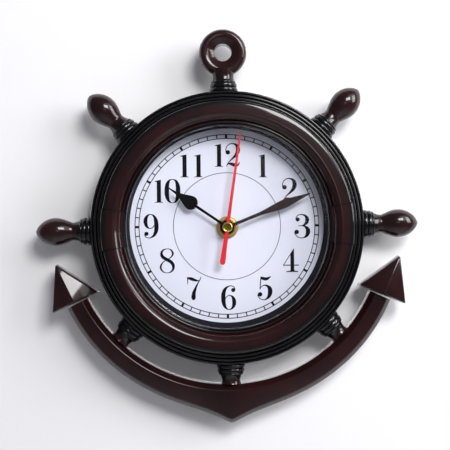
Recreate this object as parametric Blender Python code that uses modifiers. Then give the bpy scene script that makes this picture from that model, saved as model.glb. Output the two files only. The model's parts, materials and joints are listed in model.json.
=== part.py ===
"""Anchor wall clock, as an assembly of separate solids.

The clock's own frame has x to the viewer's right, y up and z from the wall towards the viewer, with the
dial's centre on its z axis. In the world +Z is up, the clock faces -Y, and the origin is the point on the
wall plane where the wall screw sits in the keyhole."""

import math

import bmesh
import bpy
from mathutils import Matrix, Vector

MM = 0.001
MERGE = 0.01 * MM

# Shared sizes
TOUCH_GAP = 0.3 * MM
OVERRUN = 1.0 * MM
ROUND_STEPS = 32
SMALL_STEPS = 12
AXIS_DEPTH = 14.0 * MM
LIP_RADIUS = 59.9 * MM

# Movement: depths run forwards from the back of its case
CASE_BACK = 2.0 * MM
CASE_WALL = 1.2 * MM
PLATE_THICKNESS = 1.3 * MM
PLATE_CLEARANCE = 2.7 * MM
WINDOW_GAP = 0.5 * MM
CELL_RADIUS = 7.25 * MM
CELL_LENGTH = 49.2 * MM
CELL_NUB_RADIUS = 2.75 * MM
CELL_NUB_LENGTH = 1.3 * MM
CELL_CLEARANCE = 0.35 * MM
CONTACT_ROOM = 1.55 * MM
CONTACT_THICKNESS = 0.4 * MM
CONTACT_WIDTH = 8.0 * MM
BUSH_HOLE_RADIUS = 2.6 * MM
BUSH_RADIUS = 4.0 * MM
BUSH_FLANGE_RADIUS = 5.6 * MM
BUSH_FLANGE_THICKNESS = 0.8 * MM
BUSH_PLAY = 0.15 * MM
BUSH_END = 0.5 * MM
PIVOT_RADIUS = 0.4 * MM
PIVOT_PLAY = 0.06 * MM
PIVOT_BOSS_RADIUS = 1.4 * MM
PIVOT_BOSS_HEIGHT = 1.0 * MM
PIVOT_DEPTH = 0.7 * MM
HAND_PLAY = 0.05 * MM
PART_PLAY = 0.15 * MM
LEAF_OVERREACH = 0.4 * MM
SECONDS_SHAFT_RADIUS = 0.5 * MM
TUBE_BORE = 0.58 * MM
TUBE_RADIUS = 1.6 * MM
TUBE_COLLAR_RADIUS = 2.4 * MM
PIPE_BORE = 1.66 * MM
PIPE_RADIUS = 2.5 * MM
POST_RADIUS = 0.8 * MM
POST_BORE = 0.86 * MM
KNOB_ANGLE = 135
KNOB_SHAFT_RADIUS = 1.2 * MM
KNOB_HEAD_RADIUS = 4.5 * MM
KNOB_HEAD_BOTTOM = 0.4 * MM
KNOB_HEAD_HEIGHT = 1.3 * MM
KNOB_GRIPS = 12
KNOB_GRIP_DEPTH = 0.3 * MM
TIP_SHARE = 1.0
ROOT_SHARE = 1.4
LEAF_TIP_SHARE = 0.7
LEAF_ROOT_SHARE = 1.5
LEAF_TIP_WIDTH_SHARE = 0.15
LEAF_ROOT_WIDTH_SHARE = 0.45
# Wheel teeth and pinion leaves of each pair of gears
TRAIN_TEETH = {
    "seconds": (48, 8),
    "fifth": (40, 8),
    "third": (60, 8),
    "centre": (64, 8),
    "minute": (36, 12),
    "hour": (32, 8),
}
TRAIN_MODULES = {
    "seconds": 0.40 * MM,
    "fifth": 0.30 * MM,
    "third": 0.32 * MM,
    "centre": 0.3022 * MM,
    "minute": 0.42 * MM,
    "hour": 0.504 * MM,
}
# Each wheel's height above the back of the case, and its thickness
TRAIN_HEIGHTS = {
    "seconds": (3.0 * MM, 0.7 * MM),
    "fifth": (5.25 * MM, 0.5 * MM),
    "third": (4.3 * MM, 0.7 * MM),
    "centre": (6.2 * MM, 0.7 * MM),
    "minute": (8.6 * MM, 0.6 * MM),
    "hour": (10.8 * MM, 0.7 * MM),
}
FIFTH_ANGLE = 30
THIRD_ANGLE = 100
ROTOR_ANGLE = 45
MINUTE_WHEEL_ANGLE = 180
ROTOR_MAGNET_RADIUS = 3.0 * MM
ROTOR_MAGNET_BOTTOM = CASE_BACK + 7.5 * MM
ROTOR_MAGNET_HEIGHT = 2.5 * MM
STATOR_BOTTOM = CASE_BACK + 8.2 * MM
STATOR_THICKNESS = 1.0 * MM
STATOR_GAP = 0.4 * MM
COIL_INSET = 5.6 * MM
COIL_LOW = -4.0 * MM
COIL_HIGH = 19.0 * MM
COIL_RADIUS = 3.2 * MM
COIL_CORE = 1.4 * MM
BOBBIN_FLANGE = 3.5 * MM
BOBBIN_FLANGE_THICKNESS = 0.8 * MM
BOBBIN_WALL = 0.6 * MM
STATOR_LOW = -7.5 * MM
STATOR_HIGH = 22.5 * MM
STATOR_LEFT = 10.7 * MM
LEG_WIDTH = 2.9 * MM
STATOR_POST_RADIUS = 1.1 * MM
BOARD_POST_RADIUS = 1.0 * MM
BOARD_LOW = (-26.0 * MM, 15.0 * MM)
BOARD_HIGH = (0.5 * MM, 26.2 * MM)
BOARD_THICKNESS = 0.8 * MM
BOARD_CLEARANCE = 2.2 * MM
CRYSTAL_RADIUS = 1.0 * MM
CRYSTAL_LENGTH = 6.0 * MM
CHIP_CAP_RADIUS = 2.6 * MM
CHIP_CAP_HEIGHT = 1.0 * MM

ROTOR_MAGNET_TOP = ROTOR_MAGNET_BOTTOM + ROTOR_MAGNET_HEIGHT
STATOR_TOP = STATOR_BOTTOM + STATOR_THICKNESS
plate_back = CASE_BACK + sum(TRAIN_HEIGHTS["hour"]) + PLATE_CLEARANCE
CASE_FRONT = plate_back + PLATE_THICKNESS
BOARD_BOTTOM = plate_back - BOARD_CLEARANCE - BOARD_THICKNESS
CASE_SIDE = CELL_LENGTH + CELL_NUB_LENGTH + 2 * (CONTACT_ROOM + CASE_WALL)
CELL_Y = CASE_WALL + CELL_CLEARANCE + CELL_RADIUS - CASE_SIDE / 2
CELL_DEPTH = plate_back - CELL_CLEARANCE - CELL_RADIUS
CELL_NUB_END = (CELL_LENGTH + CELL_NUB_LENGTH) / 2
COIL_X = CASE_SIDE / 2 - COIL_INSET

# Hands' stack on the dial, forwards from the movement
WASHER_RADIUS = 8.0 * MM
RUBBER_THICKNESS = 0.8 * MM
DIAL_THICKNESS = 1.2 * MM
DIAL_HOLE_RADIUS = 4.3 * MM
NUT_WASHER_THICKNESS = 0.4 * MM
NUT_WASHER_RADIUS = 6.6 * MM
NUT_RADIUS = 5.85 * MM
NUT_CHAMFER = 0.35 * MM
NUT_THICKNESS = 2.0 * MM
HOUR_HAND_CLEARANCE = 1.0 * MM
MINUTE_HAND_RISE = 1.8 * MM
SECOND_HAND_RISE = 1.5 * MM
HAND_THICKNESS = 0.4 * MM
HOUR_HAND_LENGTH = 44.2 * MM
HOUR_HAND_STEM = 1.6 * MM
HOUR_BULB_AT = 26.0 * MM
HOUR_BULB_HALF_WIDTH = 4.2 * MM
HOUR_BULB_START = 21.0 * MM
HOUR_BULB_END = 36.0 * MM
HOUR_BULB_POWER = 1.6
HOUR_HAND_TIP = 1.0 * MM
HOUR_HAND_ANGLE = 305.2
MINUTE_HAND_CLEARANCE = 6.0 * MM
MINUTE_HAND_STEM = 1.9 * MM
MINUTE_HAND_WIDTH = 5.2 * MM
MINUTE_WIDEST_AT = 38.0 * MM
MINUTE_HAND_TIP = 0.5 * MM
MINUTE_HAND_ANGLE = 69.2
SECOND_HAND_CLEARANCE = 3.8 * MM
SECOND_HAND_ROOT = 1.7 * MM
SECOND_HAND_TIP = 1.0 * MM
SECOND_HAND_TAIL = 22.7 * MM
SECOND_TAIL_ROOT = 2.5 * MM
SECOND_TAIL_END = 3.2 * MM
SECOND_HAND_ANGLE = 9.3
HUB_RADIUS = 4.15 * MM
MINUTE_HUB_RADIUS = 2.6 * MM
SECOND_HUB_RADIUS = 1.9 * MM
CAP_RADIUS = 3.0 * MM
CAP_HEIGHT = 0.9 * MM
LENS_CLEARANCE = 0.85 * MM
LENS_THICKNESS = 1.8 * MM

MINUTE_HAND_LENGTH = LIP_RADIUS - MINUTE_HAND_CLEARANCE
SECOND_HAND_LENGTH = LIP_RADIUS - SECOND_HAND_CLEARANCE
dial_back = CASE_FRONT + TOUCH_GAP + RUBBER_THICKNESS + TOUCH_GAP
DIAL_FRONT = dial_back + DIAL_THICKNESS
nut_bottom = DIAL_FRONT + TOUCH_GAP + NUT_WASHER_THICKNESS + TOUCH_GAP
bush_top = nut_bottom + NUT_THICKNESS + BUSH_END
HOUR_HAND_DEPTH = bush_top + HOUR_HAND_CLEARANCE
MINUTE_HAND_DEPTH = HOUR_HAND_DEPTH + MINUTE_HAND_RISE
SECOND_HAND_DEPTH = MINUTE_HAND_DEPTH + SECOND_HAND_RISE
cap_bottom = SECOND_HAND_DEPTH + HAND_THICKNESS + PART_PLAY
shaft_top = cap_bottom + CAP_HEIGHT / 2
lens_back = cap_bottom + CAP_HEIGHT + LENS_CLEARANCE
lens_front = lens_back + LENS_THICKNESS

# Case: radii run outwards from the lip's inner edge, and depths back from the lip's top
LIP_THICKNESS = 2.7 * MM
LIP_WIDTH = 1.2 * MM
COVE_WIDTH = 2.2 * MM
COVE_DEPTH = 1.0 * MM
TORUS_INNER_WIDTH = 3.5 * MM
TORUS_RISE = 4.8 * MM
SHOULDER_WIDTH = 7.7 * MM
SHOULDER_FALL = 2.3 * MM
WALL_LEAN = 1.7 * MM
WALL_DROP = 9.9 * MM
STEP_ONE_WIDTH = 1.6 * MM
STEP_ONE_FALL = 0.7 * MM
STEP_TWO_WIDTH = 2.6 * MM
STEP_TWO_FALL = 2.3 * MM
STEP_THREE_WIDTH = 2.2 * MM
STEP_THREE_FALL = 4.0 * MM
STEP_GROOVE = 0.6 * MM
STEP_BEAD = 0.5 * MM
RIM_OUTER_WIDTH = 1.3 * MM
RIM_BACK_INSET = 0.7 * MM
RIM_CROWN_DROP = 1.0 * MM
SHELL_WALL = 2.4 * MM

LIP_UNDERSIDE = lens_front + TOUCH_GAP
LIP_TOP = LIP_UNDERSIDE + LIP_THICKNESS
groove_radius = LIP_RADIUS + LIP_WIDTH + COVE_WIDTH
TORUS_RADIUS = groove_radius + TORUS_INNER_WIDTH
TORUS_DEPTH = LIP_TOP
SHOULDER_RADIUS = TORUS_RADIUS + SHOULDER_WIDTH
SHOULDER_DEPTH = TORUS_DEPTH + TORUS_RISE - SHOULDER_FALL
WALL_FOOT_RADIUS = SHOULDER_RADIUS + WALL_LEAN
WALL_FOOT_DEPTH = SHOULDER_DEPTH - WALL_DROP
STEP_ONE_RADIUS = WALL_FOOT_RADIUS + STEP_ONE_WIDTH
STEP_ONE_TOP = WALL_FOOT_DEPTH - STEP_ONE_FALL
STEP_TWO_RADIUS = STEP_ONE_RADIUS + STEP_TWO_WIDTH
STEP_TWO_TOP = STEP_ONE_TOP - STEP_TWO_FALL
STEP_THREE_RADIUS = STEP_TWO_RADIUS + STEP_THREE_WIDTH
STEP_THREE_TOP = STEP_TWO_TOP - STEP_THREE_FALL
RIM_RADIUS = STEP_THREE_RADIUS + RIM_OUTER_WIDTH
RIM_BACK_RADIUS = RIM_RADIUS - RIM_BACK_INSET
RIM_INNER_RADIUS = RIM_BACK_RADIUS - SHELL_WALL
RIM_CROWN_DEPTH = AXIS_DEPTH - RIM_CROWN_DROP

# Glass, dial and what holds them
LENS_OVERLAP = 4.1 * MM
SKIRT_WALL = 2.0 * MM
SKIRT_BEYOND_DIAL = 1.1 * MM
SPACER_INSET = 0.7 * MM
SPACER_DRAFT = 0.5 * MM
SPACER_WALL = 3.6 * MM

LENS_RADIUS = LIP_RADIUS + LENS_OVERLAP
SKIRT_END = dial_back - SKIRT_BEYOND_DIAL
SPACER_INNER_RADIUS = LIP_RADIUS - SPACER_INSET
skirt_inner = LENS_RADIUS + TOUCH_GAP
skirt_outer = skirt_inner + SKIRT_WALL

# Back cover
COVER_THICKNESS = 2.5 * MM
RIB_SETBACK = 4.0 * MM
RIB_WALL = 2.4 * MM
SCREW_OFFSET = 5.2 * MM
SCREW_PAD_RADIUS = 4.6 * MM
SCREW_PAD_HEIGHT = 2.0 * MM
SCREW_WELL_DEPTH = 2.4 * MM
SCREW_HEAD_RADIUS = 2.8 * MM
SCREW_HEAD_HEIGHT = 1.6 * MM
SCREW_SHANK_RADIUS = 1.2 * MM
SCREW_LENGTH = 11.0 * MM
SCREW_SLOT_WIDTH = 0.7 * MM
SCREW_SLOT_DEPTH = 0.7 * MM
SCREW_PLAY = 0.12 * MM
CASE_SCREW_ANGLES = (45, 135, 225, 315)
BOSS_RADIUS = 3.2 * MM
KEYHOLE_EDGE = 5.8 * MM
KEYHOLE_DROP = 6.6 * MM
KEYHOLE_ENTRY_RADIUS = 4.5 * MM
KEYHOLE_SLOT_RADIUS = 2.3 * MM

RIB_INNER_RADIUS = LENS_RADIUS - RIB_SETBACK
SCREW_CIRCLE = skirt_outer + SCREW_OFFSET
KEYHOLE_SEAT_Y = RIM_INNER_RADIUS - KEYHOLE_EDGE
KEYHOLE_ENTRY_Y = KEYHOLE_SEAT_Y - KEYHOLE_DROP
cover_rib_end = dial_back - TOUCH_GAP

# Handles, stubs and eye: lengths run outwards along each axis from their seat in the rim
SEAT_DEPTH = 1.5 * MM
SPIGOT_RADIUS = 3.5 * MM
SPIGOT_LENGTH = 3.0 * MM
HANDLE_ANGLES = {"right": 0, "upper_right": 45, "upper_left": 135, "left": 180}
BEAD_ONE_RADIUS = 8.7 * MM
BEAD_ONE_LENGTH = 2.7 * MM
BEAD_TWO_RADIUS = 8.25 * MM
BEAD_TWO_LENGTH = 2.8 * MM
BEAD_THREE_RADIUS = 7.6 * MM
BEAD_THREE_LENGTH = 1.3 * MM
BEAD_GROOVE = 0.6 * MM
NECK_RADIUS = 5.45 * MM
NECK_LENGTH = 4.6 * MM
KNOB_RADIUS = 8.6 * MM
KNOB_RISE = 10.7 * MM
KNOB_END = 12.1 * MM
NECK_FALL_POWER = 1.8
KNOB_RISE_POWER = 0.72
KNOB_TIP_POWER = 0.65
STUB_ANGLES = {"lower_left": 225, "bottom": 270, "lower_right": 315}
STUB_NECK_RADIUS = 5.6 * MM
STUB_NECK_LENGTH = 3.2 * MM
STUB_END_RADIUS = 6.0 * MM
STUB_END_LENGTH = 2.8 * MM
STUB_SPIGOT_RADIUS = 2.6 * MM
STUB_SPIGOT_LENGTH = 3.4 * MM
TURNED_STEPS = 10

SEAT_RADIUS = RIM_RADIUS - SEAT_DEPTH
SPIGOT_INNER_END = SEAT_RADIUS - SPIGOT_LENGTH
BEAD_ONE_END = SEAT_RADIUS + BEAD_ONE_LENGTH
BEAD_TWO_END = BEAD_ONE_END + BEAD_TWO_LENGTH
BEAD_THREE_END = BEAD_TWO_END + BEAD_THREE_LENGTH
NECK_AT = BEAD_THREE_END + NECK_LENGTH
KNOB_AT = NECK_AT + KNOB_RISE
HANDLE_TIP = KNOB_AT + KNOB_END
STUB_NECK_AT = BEAD_THREE_END + STUB_NECK_LENGTH

EYE_ANGLE = 90
EYE_RADIUS = 14.6 * MM
EYE_CREST_RADIUS = 11.6 * MM
EYE_STEP_RADIUS = 8.8 * MM
EYE_HOLE_RADIUS = 5.37 * MM
EYE_HALF_THICKNESS = 4.8 * MM
EYE_STEP_DEPTH = 0.7 * MM
EYE_SLOPE_DEPTH = 1.8 * MM
EYE_BACK_CHAMFER = 1.6 * MM
EYE_NECK_RADIUS = 6.5 * MM
EYE_STEPS = 20
EYE_CENTRE = STUB_NECK_AT + EYE_RADIUS

# Anchor
ARM_WIDTH = 13.8 * MM
ARM_SPREAD = 64.58
ARM_SWELL = 1.5 * MM
CROWN_RISE = 8.2 * MM
CROWN_DECAY = 6.5
CROWN_ROUNDING = 1.1
ARM_BACK_DROP = 6.0 * MM
ARM_RIDGE_RISE = 6.0 * MM
ARM_RIDGE_INSET = 3.2 * MM
ARM_STEP_INSET = 1.8 * MM
ARM_STEP_FALL = 1.2 * MM
ARM_WALL_FALL = 1.6 * MM
ARM_CHAMFER_WIDTH = 3.0 * MM
ARM_FACE_FALL = 1.8 * MM
ARM_CHAMFER_FALL = 3.7 * MM
ARM_STEPS = 30
ARM_STEPS_POWER = 1.35
POCKET_WALL = 2.5 * MM
POCKET_DEPTH = 7.0 * MM
POCKET_ENDS = ((-58.0, -50.5), (-39.5, -5.5), (5.5, 39.5), (50.5, 58.0))

ARM_INNER_RADIUS = STUB_NECK_AT + STUB_END_LENGTH
ARM_OUTER_RADIUS = ARM_INNER_RADIUS + ARM_WIDTH
ARM_BACK = AXIS_DEPTH - ARM_BACK_DROP
ARM_RIDGE_DEPTH = AXIS_DEPTH + ARM_RIDGE_RISE
ARM_STEP_DEPTH = ARM_RIDGE_DEPTH - ARM_STEP_FALL
ARM_WALL_DEPTH = ARM_STEP_DEPTH - ARM_WALL_FALL
ARM_CHAMFER_TOP = ARM_RIDGE_DEPTH - ARM_FACE_FALL
ARM_CHAMFER_FOOT = ARM_CHAMFER_TOP - ARM_CHAMFER_FALL
POCKET_FLOOR = ARM_BACK + POCKET_DEPTH

FLUKE_TILT = 1.74
FLUKE_INNER_OVERHANG = 7.95 * MM
FLUKE_OUTER_OVERHANG = 9.36 * MM
FLUKE_LENGTH = 26.73 * MM
FLUKE_TIP_OFFSET = 2.03 * MM
FLUKE_BACK_DROP = 7.0 * MM
FLUKE_OUTER_RISE = 5.6 * MM
FLUKE_INNER_RISE = 4.2 * MM
FLUKE_RIDGE_RISE = 9.3 * MM
FLUKE_TIP_RISE = 4.8 * MM
FLUKE_DRAFT = 1.0 * MM
FLUKE_ROUNDING = 0.6 * MM
FLUKE_PEG_RADIUS = 2.5 * MM
FLUKE_PEG_LENGTH = 4.0 * MM

# Collars
COLLAR_HALF_ANGLE = 9.6
COLLAR_PROUD = 0.45 * MM
COLLAR_RECESS = 0.8 * MM
COLLAR_STEPS = 4
COLLAR_INNER_RADIUS = LIP_RADIUS + TOUCH_GAP
COLLAR_OUTER_RADIUS = WALL_FOOT_RADIUS - TOUCH_GAP

# Materials: name, colour, roughness, metallic
MATERIALS = {
    "mahogany": ((0.030, 0.014, 0.014), 0.25, 0.0),
    "black_plastic": ((0.012, 0.012, 0.013), 0.5, 0.0),
    "dial_white": ((0.84, 0.86, 0.95), 0.5, 0.0),
    "clear": ((0.9, 0.93, 0.95), 0.05, 0.0),
    "hand_black": ((0.02, 0.012, 0.01), 0.4, 0.0),
    "hand_red": ((0.75, 0.02, 0.03), 0.4, 0.0),
    "brass": ((0.6, 0.45, 0.16), 0.3, 1.0),
    "steel": ((0.5, 0.5, 0.52), 0.35, 1.0),
    "copper": ((0.6, 0.24, 0.12), 0.4, 1.0),
    "rubber": ((0.03, 0.03, 0.03), 0.9, 0.0),
    "nylon": ((0.75, 0.74, 0.7), 0.5, 0.0),
    "board_green": ((0.03, 0.2, 0.07), 0.5, 0.0),
    "cell_jacket": ((0.1, 0.13, 0.3), 0.35, 0.3),
}


# Scene, collections and materials
for old in list(bpy.data.objects):
    bpy.data.objects.remove(old, do_unlink=True)

parts = bpy.data.collections.new("anchor_wall_clock")
cutters = bpy.data.collections.new("cutters")
for collection in (parts, cutters):
    bpy.context.scene.collection.children.link(collection)

clock = bpy.data.objects.new("clock_frame", None)
clock.location = (0, 0, -KEYHOLE_SEAT_Y)
clock.rotation_euler = (math.pi / 2, 0, 0)
parts.objects.link(clock)


def make_material(name):
    colour, roughness, metallic = MATERIALS[name]
    material = bpy.data.materials.new(name)
    material.use_nodes = True
    shader = material.node_tree.nodes["Principled BSDF"]
    shader.inputs["Base Color"].default_value = (*colour, 1)
    shader.inputs["Roughness"].default_value = roughness
    shader.inputs["Metallic"].default_value = metallic
    return material


materials = {name: make_material(name) for name in MATERIALS}


# General helpers
def add(name, mesh, material=None, at=(0, 0), parent=None):
    """Places a mesh in the clock's frame: a part if it has a material, and otherwise a cutter."""
    piece = bpy.data.objects.new(name, mesh)
    piece.parent = parent or clock
    piece.location = (at[0], at[1], 0)
    if material:
        mesh.materials.append(materials[material])
        parts.objects.link(piece)
    else:
        cutters.objects.link(piece)
        piece.hide_render = True
        piece.display_type = "WIRE"
    return piece


def smooth(mesh):
    mesh.shade_smooth()
    mesh.set_sharp_from_angle(angle=math.radians(35))


def finish_bmesh(shape, name):
    bmesh.ops.recalc_face_normals(shape, faces=shape.faces)
    mesh = bpy.data.meshes.new(name)
    shape.to_mesh(mesh)
    shape.free()
    smooth(mesh)
    return mesh


def turned(name, outline, material=None, at=(0, 0), steps=ROUND_STEPS, parent=None):
    """A turned solid whose outline, as (radius, height), runs down its outer side. A ring's is closed."""
    closed = outline[0][0] > MERGE
    mesh = bpy.data.meshes.new(name)
    points = [(radius, 0, height) for radius, height in outline]
    edges = [(i, i + 1) for i in range(len(points) - 1)]
    if closed:
        edges.append((len(points) - 1, 0))
    mesh.from_pydata(points, edges, [])
    piece = add(name, mesh, material, at, parent)
    screw = piece.modifiers.new("turn", "SCREW")
    screw.steps = screw.render_steps = steps
    screw.use_merge_vertices = True
    screw.merge_threshold = MERGE
    screw.use_smooth_shade = True
    return piece


def ring(name, inner, outer, bottom, top, material=None, at=(0, 0), steps=ROUND_STEPS, parent=None):
    outline = [(outer, top), (outer, bottom), (inner, bottom), (inner, top)]
    return turned(name, outline, material, at, steps, parent)


def rod(name, radius, bottom, top, material=None, at=(0, 0), steps=SMALL_STEPS, parent=None):
    shape = bmesh.new()
    length = top - bottom
    bmesh.ops.create_cone(shape, cap_ends=True, segments=steps, radius1=radius, radius2=radius, depth=length)
    bmesh.ops.translate(shape, verts=shape.verts, vec=(0, 0, (top + bottom) / 2))
    return add(name, finish_bmesh(shape, name), material, at, parent)


def block(name, low, high, material=None, at=(0, 0), parent=None):
    shape = bmesh.new()
    bmesh.ops.create_cube(shape, size=1)
    for vertex in shape.verts:
        vertex.co = [a if c < 0 else b for a, b, c in zip(low, high, vertex.co)]
    return add(name, finish_bmesh(shape, name), material, at, parent)


def plate(name, outlines, bottom, top, material=None, at=(0, 0), parent=None):
    """A flat outline, with any holes after it, filled and made as thick as from bottom to top."""
    curve = bpy.data.curves.new(name, "CURVE")
    curve.dimensions = "2D"
    curve.fill_mode = "BOTH"
    curve.extrude = (top - bottom) / 2
    for outline in outlines:
        spline = curve.splines.new("POLY")
        spline.points.add(len(outline) - 1)
        for point, (x, y) in zip(spline.points, outline):
            point.co = (x, y, 0, 1)
        spline.use_cyclic_u = True
    drawn = bpy.data.objects.new(name, curve)
    cutters.objects.link(drawn)
    graph = bpy.context.evaluated_depsgraph_get()
    mesh = bpy.data.meshes.new_from_object(drawn.evaluated_get(graph))
    bpy.data.objects.remove(drawn)
    bpy.data.curves.remove(curve)
    shape = bmesh.new()
    shape.from_mesh(mesh)
    bpy.data.meshes.remove(mesh)
    bmesh.ops.remove_doubles(shape, verts=shape.verts, dist=MERGE / 10)
    bmesh.ops.translate(shape, verts=shape.verts, vec=(0, 0, (top + bottom) / 2))
    return add(name, finish_bmesh(shape, name), material, at, parent)


def boolean(piece, other, operation):
    modifier = piece.modifiers.new(other.name, "BOOLEAN")
    modifier.operation = operation
    modifier.object = other
    return piece


def cut(piece, *others):
    for other in others:
        boolean(piece, other, "DIFFERENCE")
    return piece


def join(piece, *others):
    for other in others:
        boolean(piece, other, "UNION")
    return piece


def polar(radius, degrees):
    angle = math.radians(degrees)
    return (radius * math.cos(angle), radius * math.sin(angle))


def arc(centre, radii, start, end, steps):
    """Points on part of an ellipse, with its angles in degrees."""
    angles = [start + (end - start) * i / steps for i in range(steps + 1)]
    return [
        (centre[0] + radii[0] * math.cos(math.radians(a)), centre[1] + radii[1] * math.sin(math.radians(a)))
        for a in angles
    ]


def circle(radius, steps, centre=(0, 0)):
    return arc(centre, (radius, radius), 0, 360 - 360 / steps, steps - 1)


def point_outwards(piece, degrees):
    """Lays a piece that was made along z on the line that leaves the dial's centre at this angle."""
    piece.location = (0, 0, AXIS_DEPTH)
    piece.rotation_euler = (0, math.pi / 2, math.radians(degrees))
    return piece


# Case: the front moulding
def torus_curve(start, offset=0.0):
    """The big moulding from its steep inner side over the crest to the end of its wide shoulder."""
    inner = arc((TORUS_RADIUS, TORUS_DEPTH), (TORUS_INNER_WIDTH + offset, TORUS_RISE + offset), start, 90, 4)
    outer = arc((TORUS_RADIUS, SHOULDER_DEPTH), (SHOULDER_WIDTH + offset, SHOULDER_FALL + offset), 90, 0, 5)
    return inner + outer[1:]


def bezel_front_outline():
    """The front of the ring from the lip's inner edge outwards to the rim's crown."""
    cove_centre = (groove_radius - COVE_WIDTH / 2, LIP_TOP - STEP_BEAD)
    outline = arc((LIP_RADIUS + LIP_WIDTH / 2, LIP_TOP - STEP_BEAD), (LIP_WIDTH / 2, STEP_BEAD), 180, 0, 2)
    outline += arc(cove_centre, (COVE_WIDTH / 2, COVE_DEPTH), 180, 360, 4)[1:-1]
    outline += torus_curve(175) + [(WALL_FOOT_RADIUS, WALL_FOOT_DEPTH)]
    for radius, top in (
        (STEP_ONE_RADIUS, STEP_ONE_TOP),
        (STEP_TWO_RADIUS, STEP_TWO_TOP),
        (STEP_THREE_RADIUS, STEP_THREE_TOP),
    ):
        outline += [(radius - STEP_GROOVE, top - STEP_GROOVE / 2), (radius, top)]
    return outline + [(RIM_RADIUS, RIM_CROWN_DEPTH)]


def bezel_back_outline():
    """The hollow behind it, from the rim's back edge inwards to the lip."""
    return [
        (RIM_BACK_RADIUS, 0),
        (RIM_INNER_RADIUS, 0),
        (RIM_INNER_RADIUS, AXIS_DEPTH),
        (STEP_TWO_RADIUS - SHELL_WALL, STEP_TWO_TOP - SHELL_WALL - STEP_GROOVE),
        (WALL_FOOT_RADIUS - SHELL_WALL, WALL_FOOT_DEPTH - SHELL_WALL),
        (SHOULDER_RADIUS - SHELL_WALL, SHOULDER_DEPTH - SHELL_WALL),
        (skirt_outer, SHOULDER_DEPTH - SHELL_WALL),
        (skirt_outer, SKIRT_END),
        (skirt_inner, SKIRT_END),
        (skirt_inner, LIP_UNDERSIDE),
        (LIP_RADIUS, LIP_UNDERSIDE),
    ]


def sector(name, outline, middle, half_angle, steps, material=None):
    """The filled outline, as (radius, depth), swept about the dial's axis through a part of a turn."""
    shape = bmesh.new()
    corners = [shape.verts.new((radius, 0, depth)) for radius, depth in outline]
    face = shape.faces.new(corners)
    turn_to = Matrix.Rotation(math.radians(middle - half_angle), 3, "Z")
    bmesh.ops.rotate(shape, verts=shape.verts, matrix=turn_to)
    bmesh.ops.spin(
        shape,
        geom=[face],
        axis=(0, 0, 1),
        cent=(0, 0, 0),
        angle=math.radians(2 * half_angle),
        steps=steps,
        use_duplicate=False,
    )
    # The sweep leaves the first face behind as the near end, and its last ring as the far end
    return add(name, finish_bmesh(shape, name), material)


def collar_curve(offset):
    """The line along which a collar crosses the bead, moved outwards by the offset."""
    inner = (COLLAR_INNER_RADIUS, LIP_TOP - STEP_BEAD + offset)
    outer = (COLLAR_OUTER_RADIUS + offset / 2, WALL_FOOT_DEPTH + STEP_BEAD + offset / 2)
    return [inner] + torus_curve(168, offset) + [outer]


def make_collars():
    thickness_back = COLLAR_RECESS - TOUCH_GAP
    section = collar_curve(COLLAR_PROUD) + list(reversed(collar_curve(-thickness_back)))
    for name, angle in (("right_collar", 0), ("left_collar", 180)):
        sector(name, section, angle, COLLAR_HALF_ANGLE, COLLAR_STEPS, "mahogany")


def make_bezel():
    bezel = turned("bezel_ring", bezel_front_outline() + bezel_back_outline(), "mahogany")
    under = collar_curve(-COLLAR_RECESS)
    high = TORUS_DEPTH + TORUS_RISE + OVERRUN
    inner_end = (LIP_RADIUS - OVERRUN, under[0][1])
    pocket = [inner_end] + under
    pocket += [(COLLAR_OUTER_RADIUS + TOUCH_GAP, under[-1][1]), (COLLAR_OUTER_RADIUS + TOUCH_GAP, high)]
    pocket += [(LIP_RADIUS - OVERRUN, high)]
    gap_angle = COLLAR_HALF_ANGLE + math.degrees(TOUCH_GAP / TORUS_RADIUS)
    for angle in (0, 180):
        cut(bezel, sector(f"collar_pocket_{angle}", pocket, angle, gap_angle, COLLAR_STEPS))
    for index, angle in enumerate(CASE_SCREW_ANGLES):
        at = polar(SCREW_CIRCLE, angle)
        foot = COVER_THICKNESS + SCREW_PAD_HEIGHT + TOUCH_GAP
        boss = rod(f"boss_{index}", BOSS_RADIUS, foot, WALL_FOOT_DEPTH - STEP_BEAD, at=at)
        hole_end = SCREW_LENGTH + SCREW_WELL_DEPTH + OVERRUN
        hole = rod(f"boss_hole_{index}", SCREW_SHANK_RADIUS + SCREW_PLAY, 0, hole_end, at=at)
        join(bezel, boss)
        cut(bezel, hole)
    for angle in (*HANDLE_ANGLES.values(), *STUB_ANGLES.values(), EYE_ANGLE):
        seat = rod(f"seat_{angle}", BEAD_ONE_RADIUS + TOUCH_GAP, SEAT_RADIUS, HANDLE_TIP, steps=TURNED_STEPS)
        hole_start = SPIGOT_INNER_END - OVERRUN
        hole_radius = SPIGOT_RADIUS + TOUCH_GAP
        hole = rod(f"spigot_hole_{angle}", hole_radius, hole_start, HANDLE_TIP, steps=TURNED_STEPS)
        cut(bezel, point_outwards(seat, angle), point_outwards(hole, angle))


# Turned pieces that stand out from the rim
def root_outline(last_bead_radius=BEAD_THREE_RADIUS):
    """Three beads from the seat outwards, listed from the last bead down to the spigot's end."""
    beads = []
    starts = [SEAT_RADIUS + TOUCH_GAP, BEAD_ONE_END, BEAD_TWO_END]
    ends = [BEAD_ONE_END, BEAD_TWO_END, BEAD_THREE_END]
    for start, end, radius in zip(starts, ends, (BEAD_ONE_RADIUS, BEAD_TWO_RADIUS, last_bead_radius)):
        middle = (radius - BEAD_GROOVE, (start + end) / 2)
        beads += arc(middle, (BEAD_GROOVE, (end - start) / 2), -90, 90, 2)
    outline = list(reversed(beads))
    outline += [(SPIGOT_RADIUS, SEAT_RADIUS + TOUCH_GAP), (SPIGOT_RADIUS, SPIGOT_INNER_END)]
    outline += [(0, SPIGOT_INNER_END)]
    return outline


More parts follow.
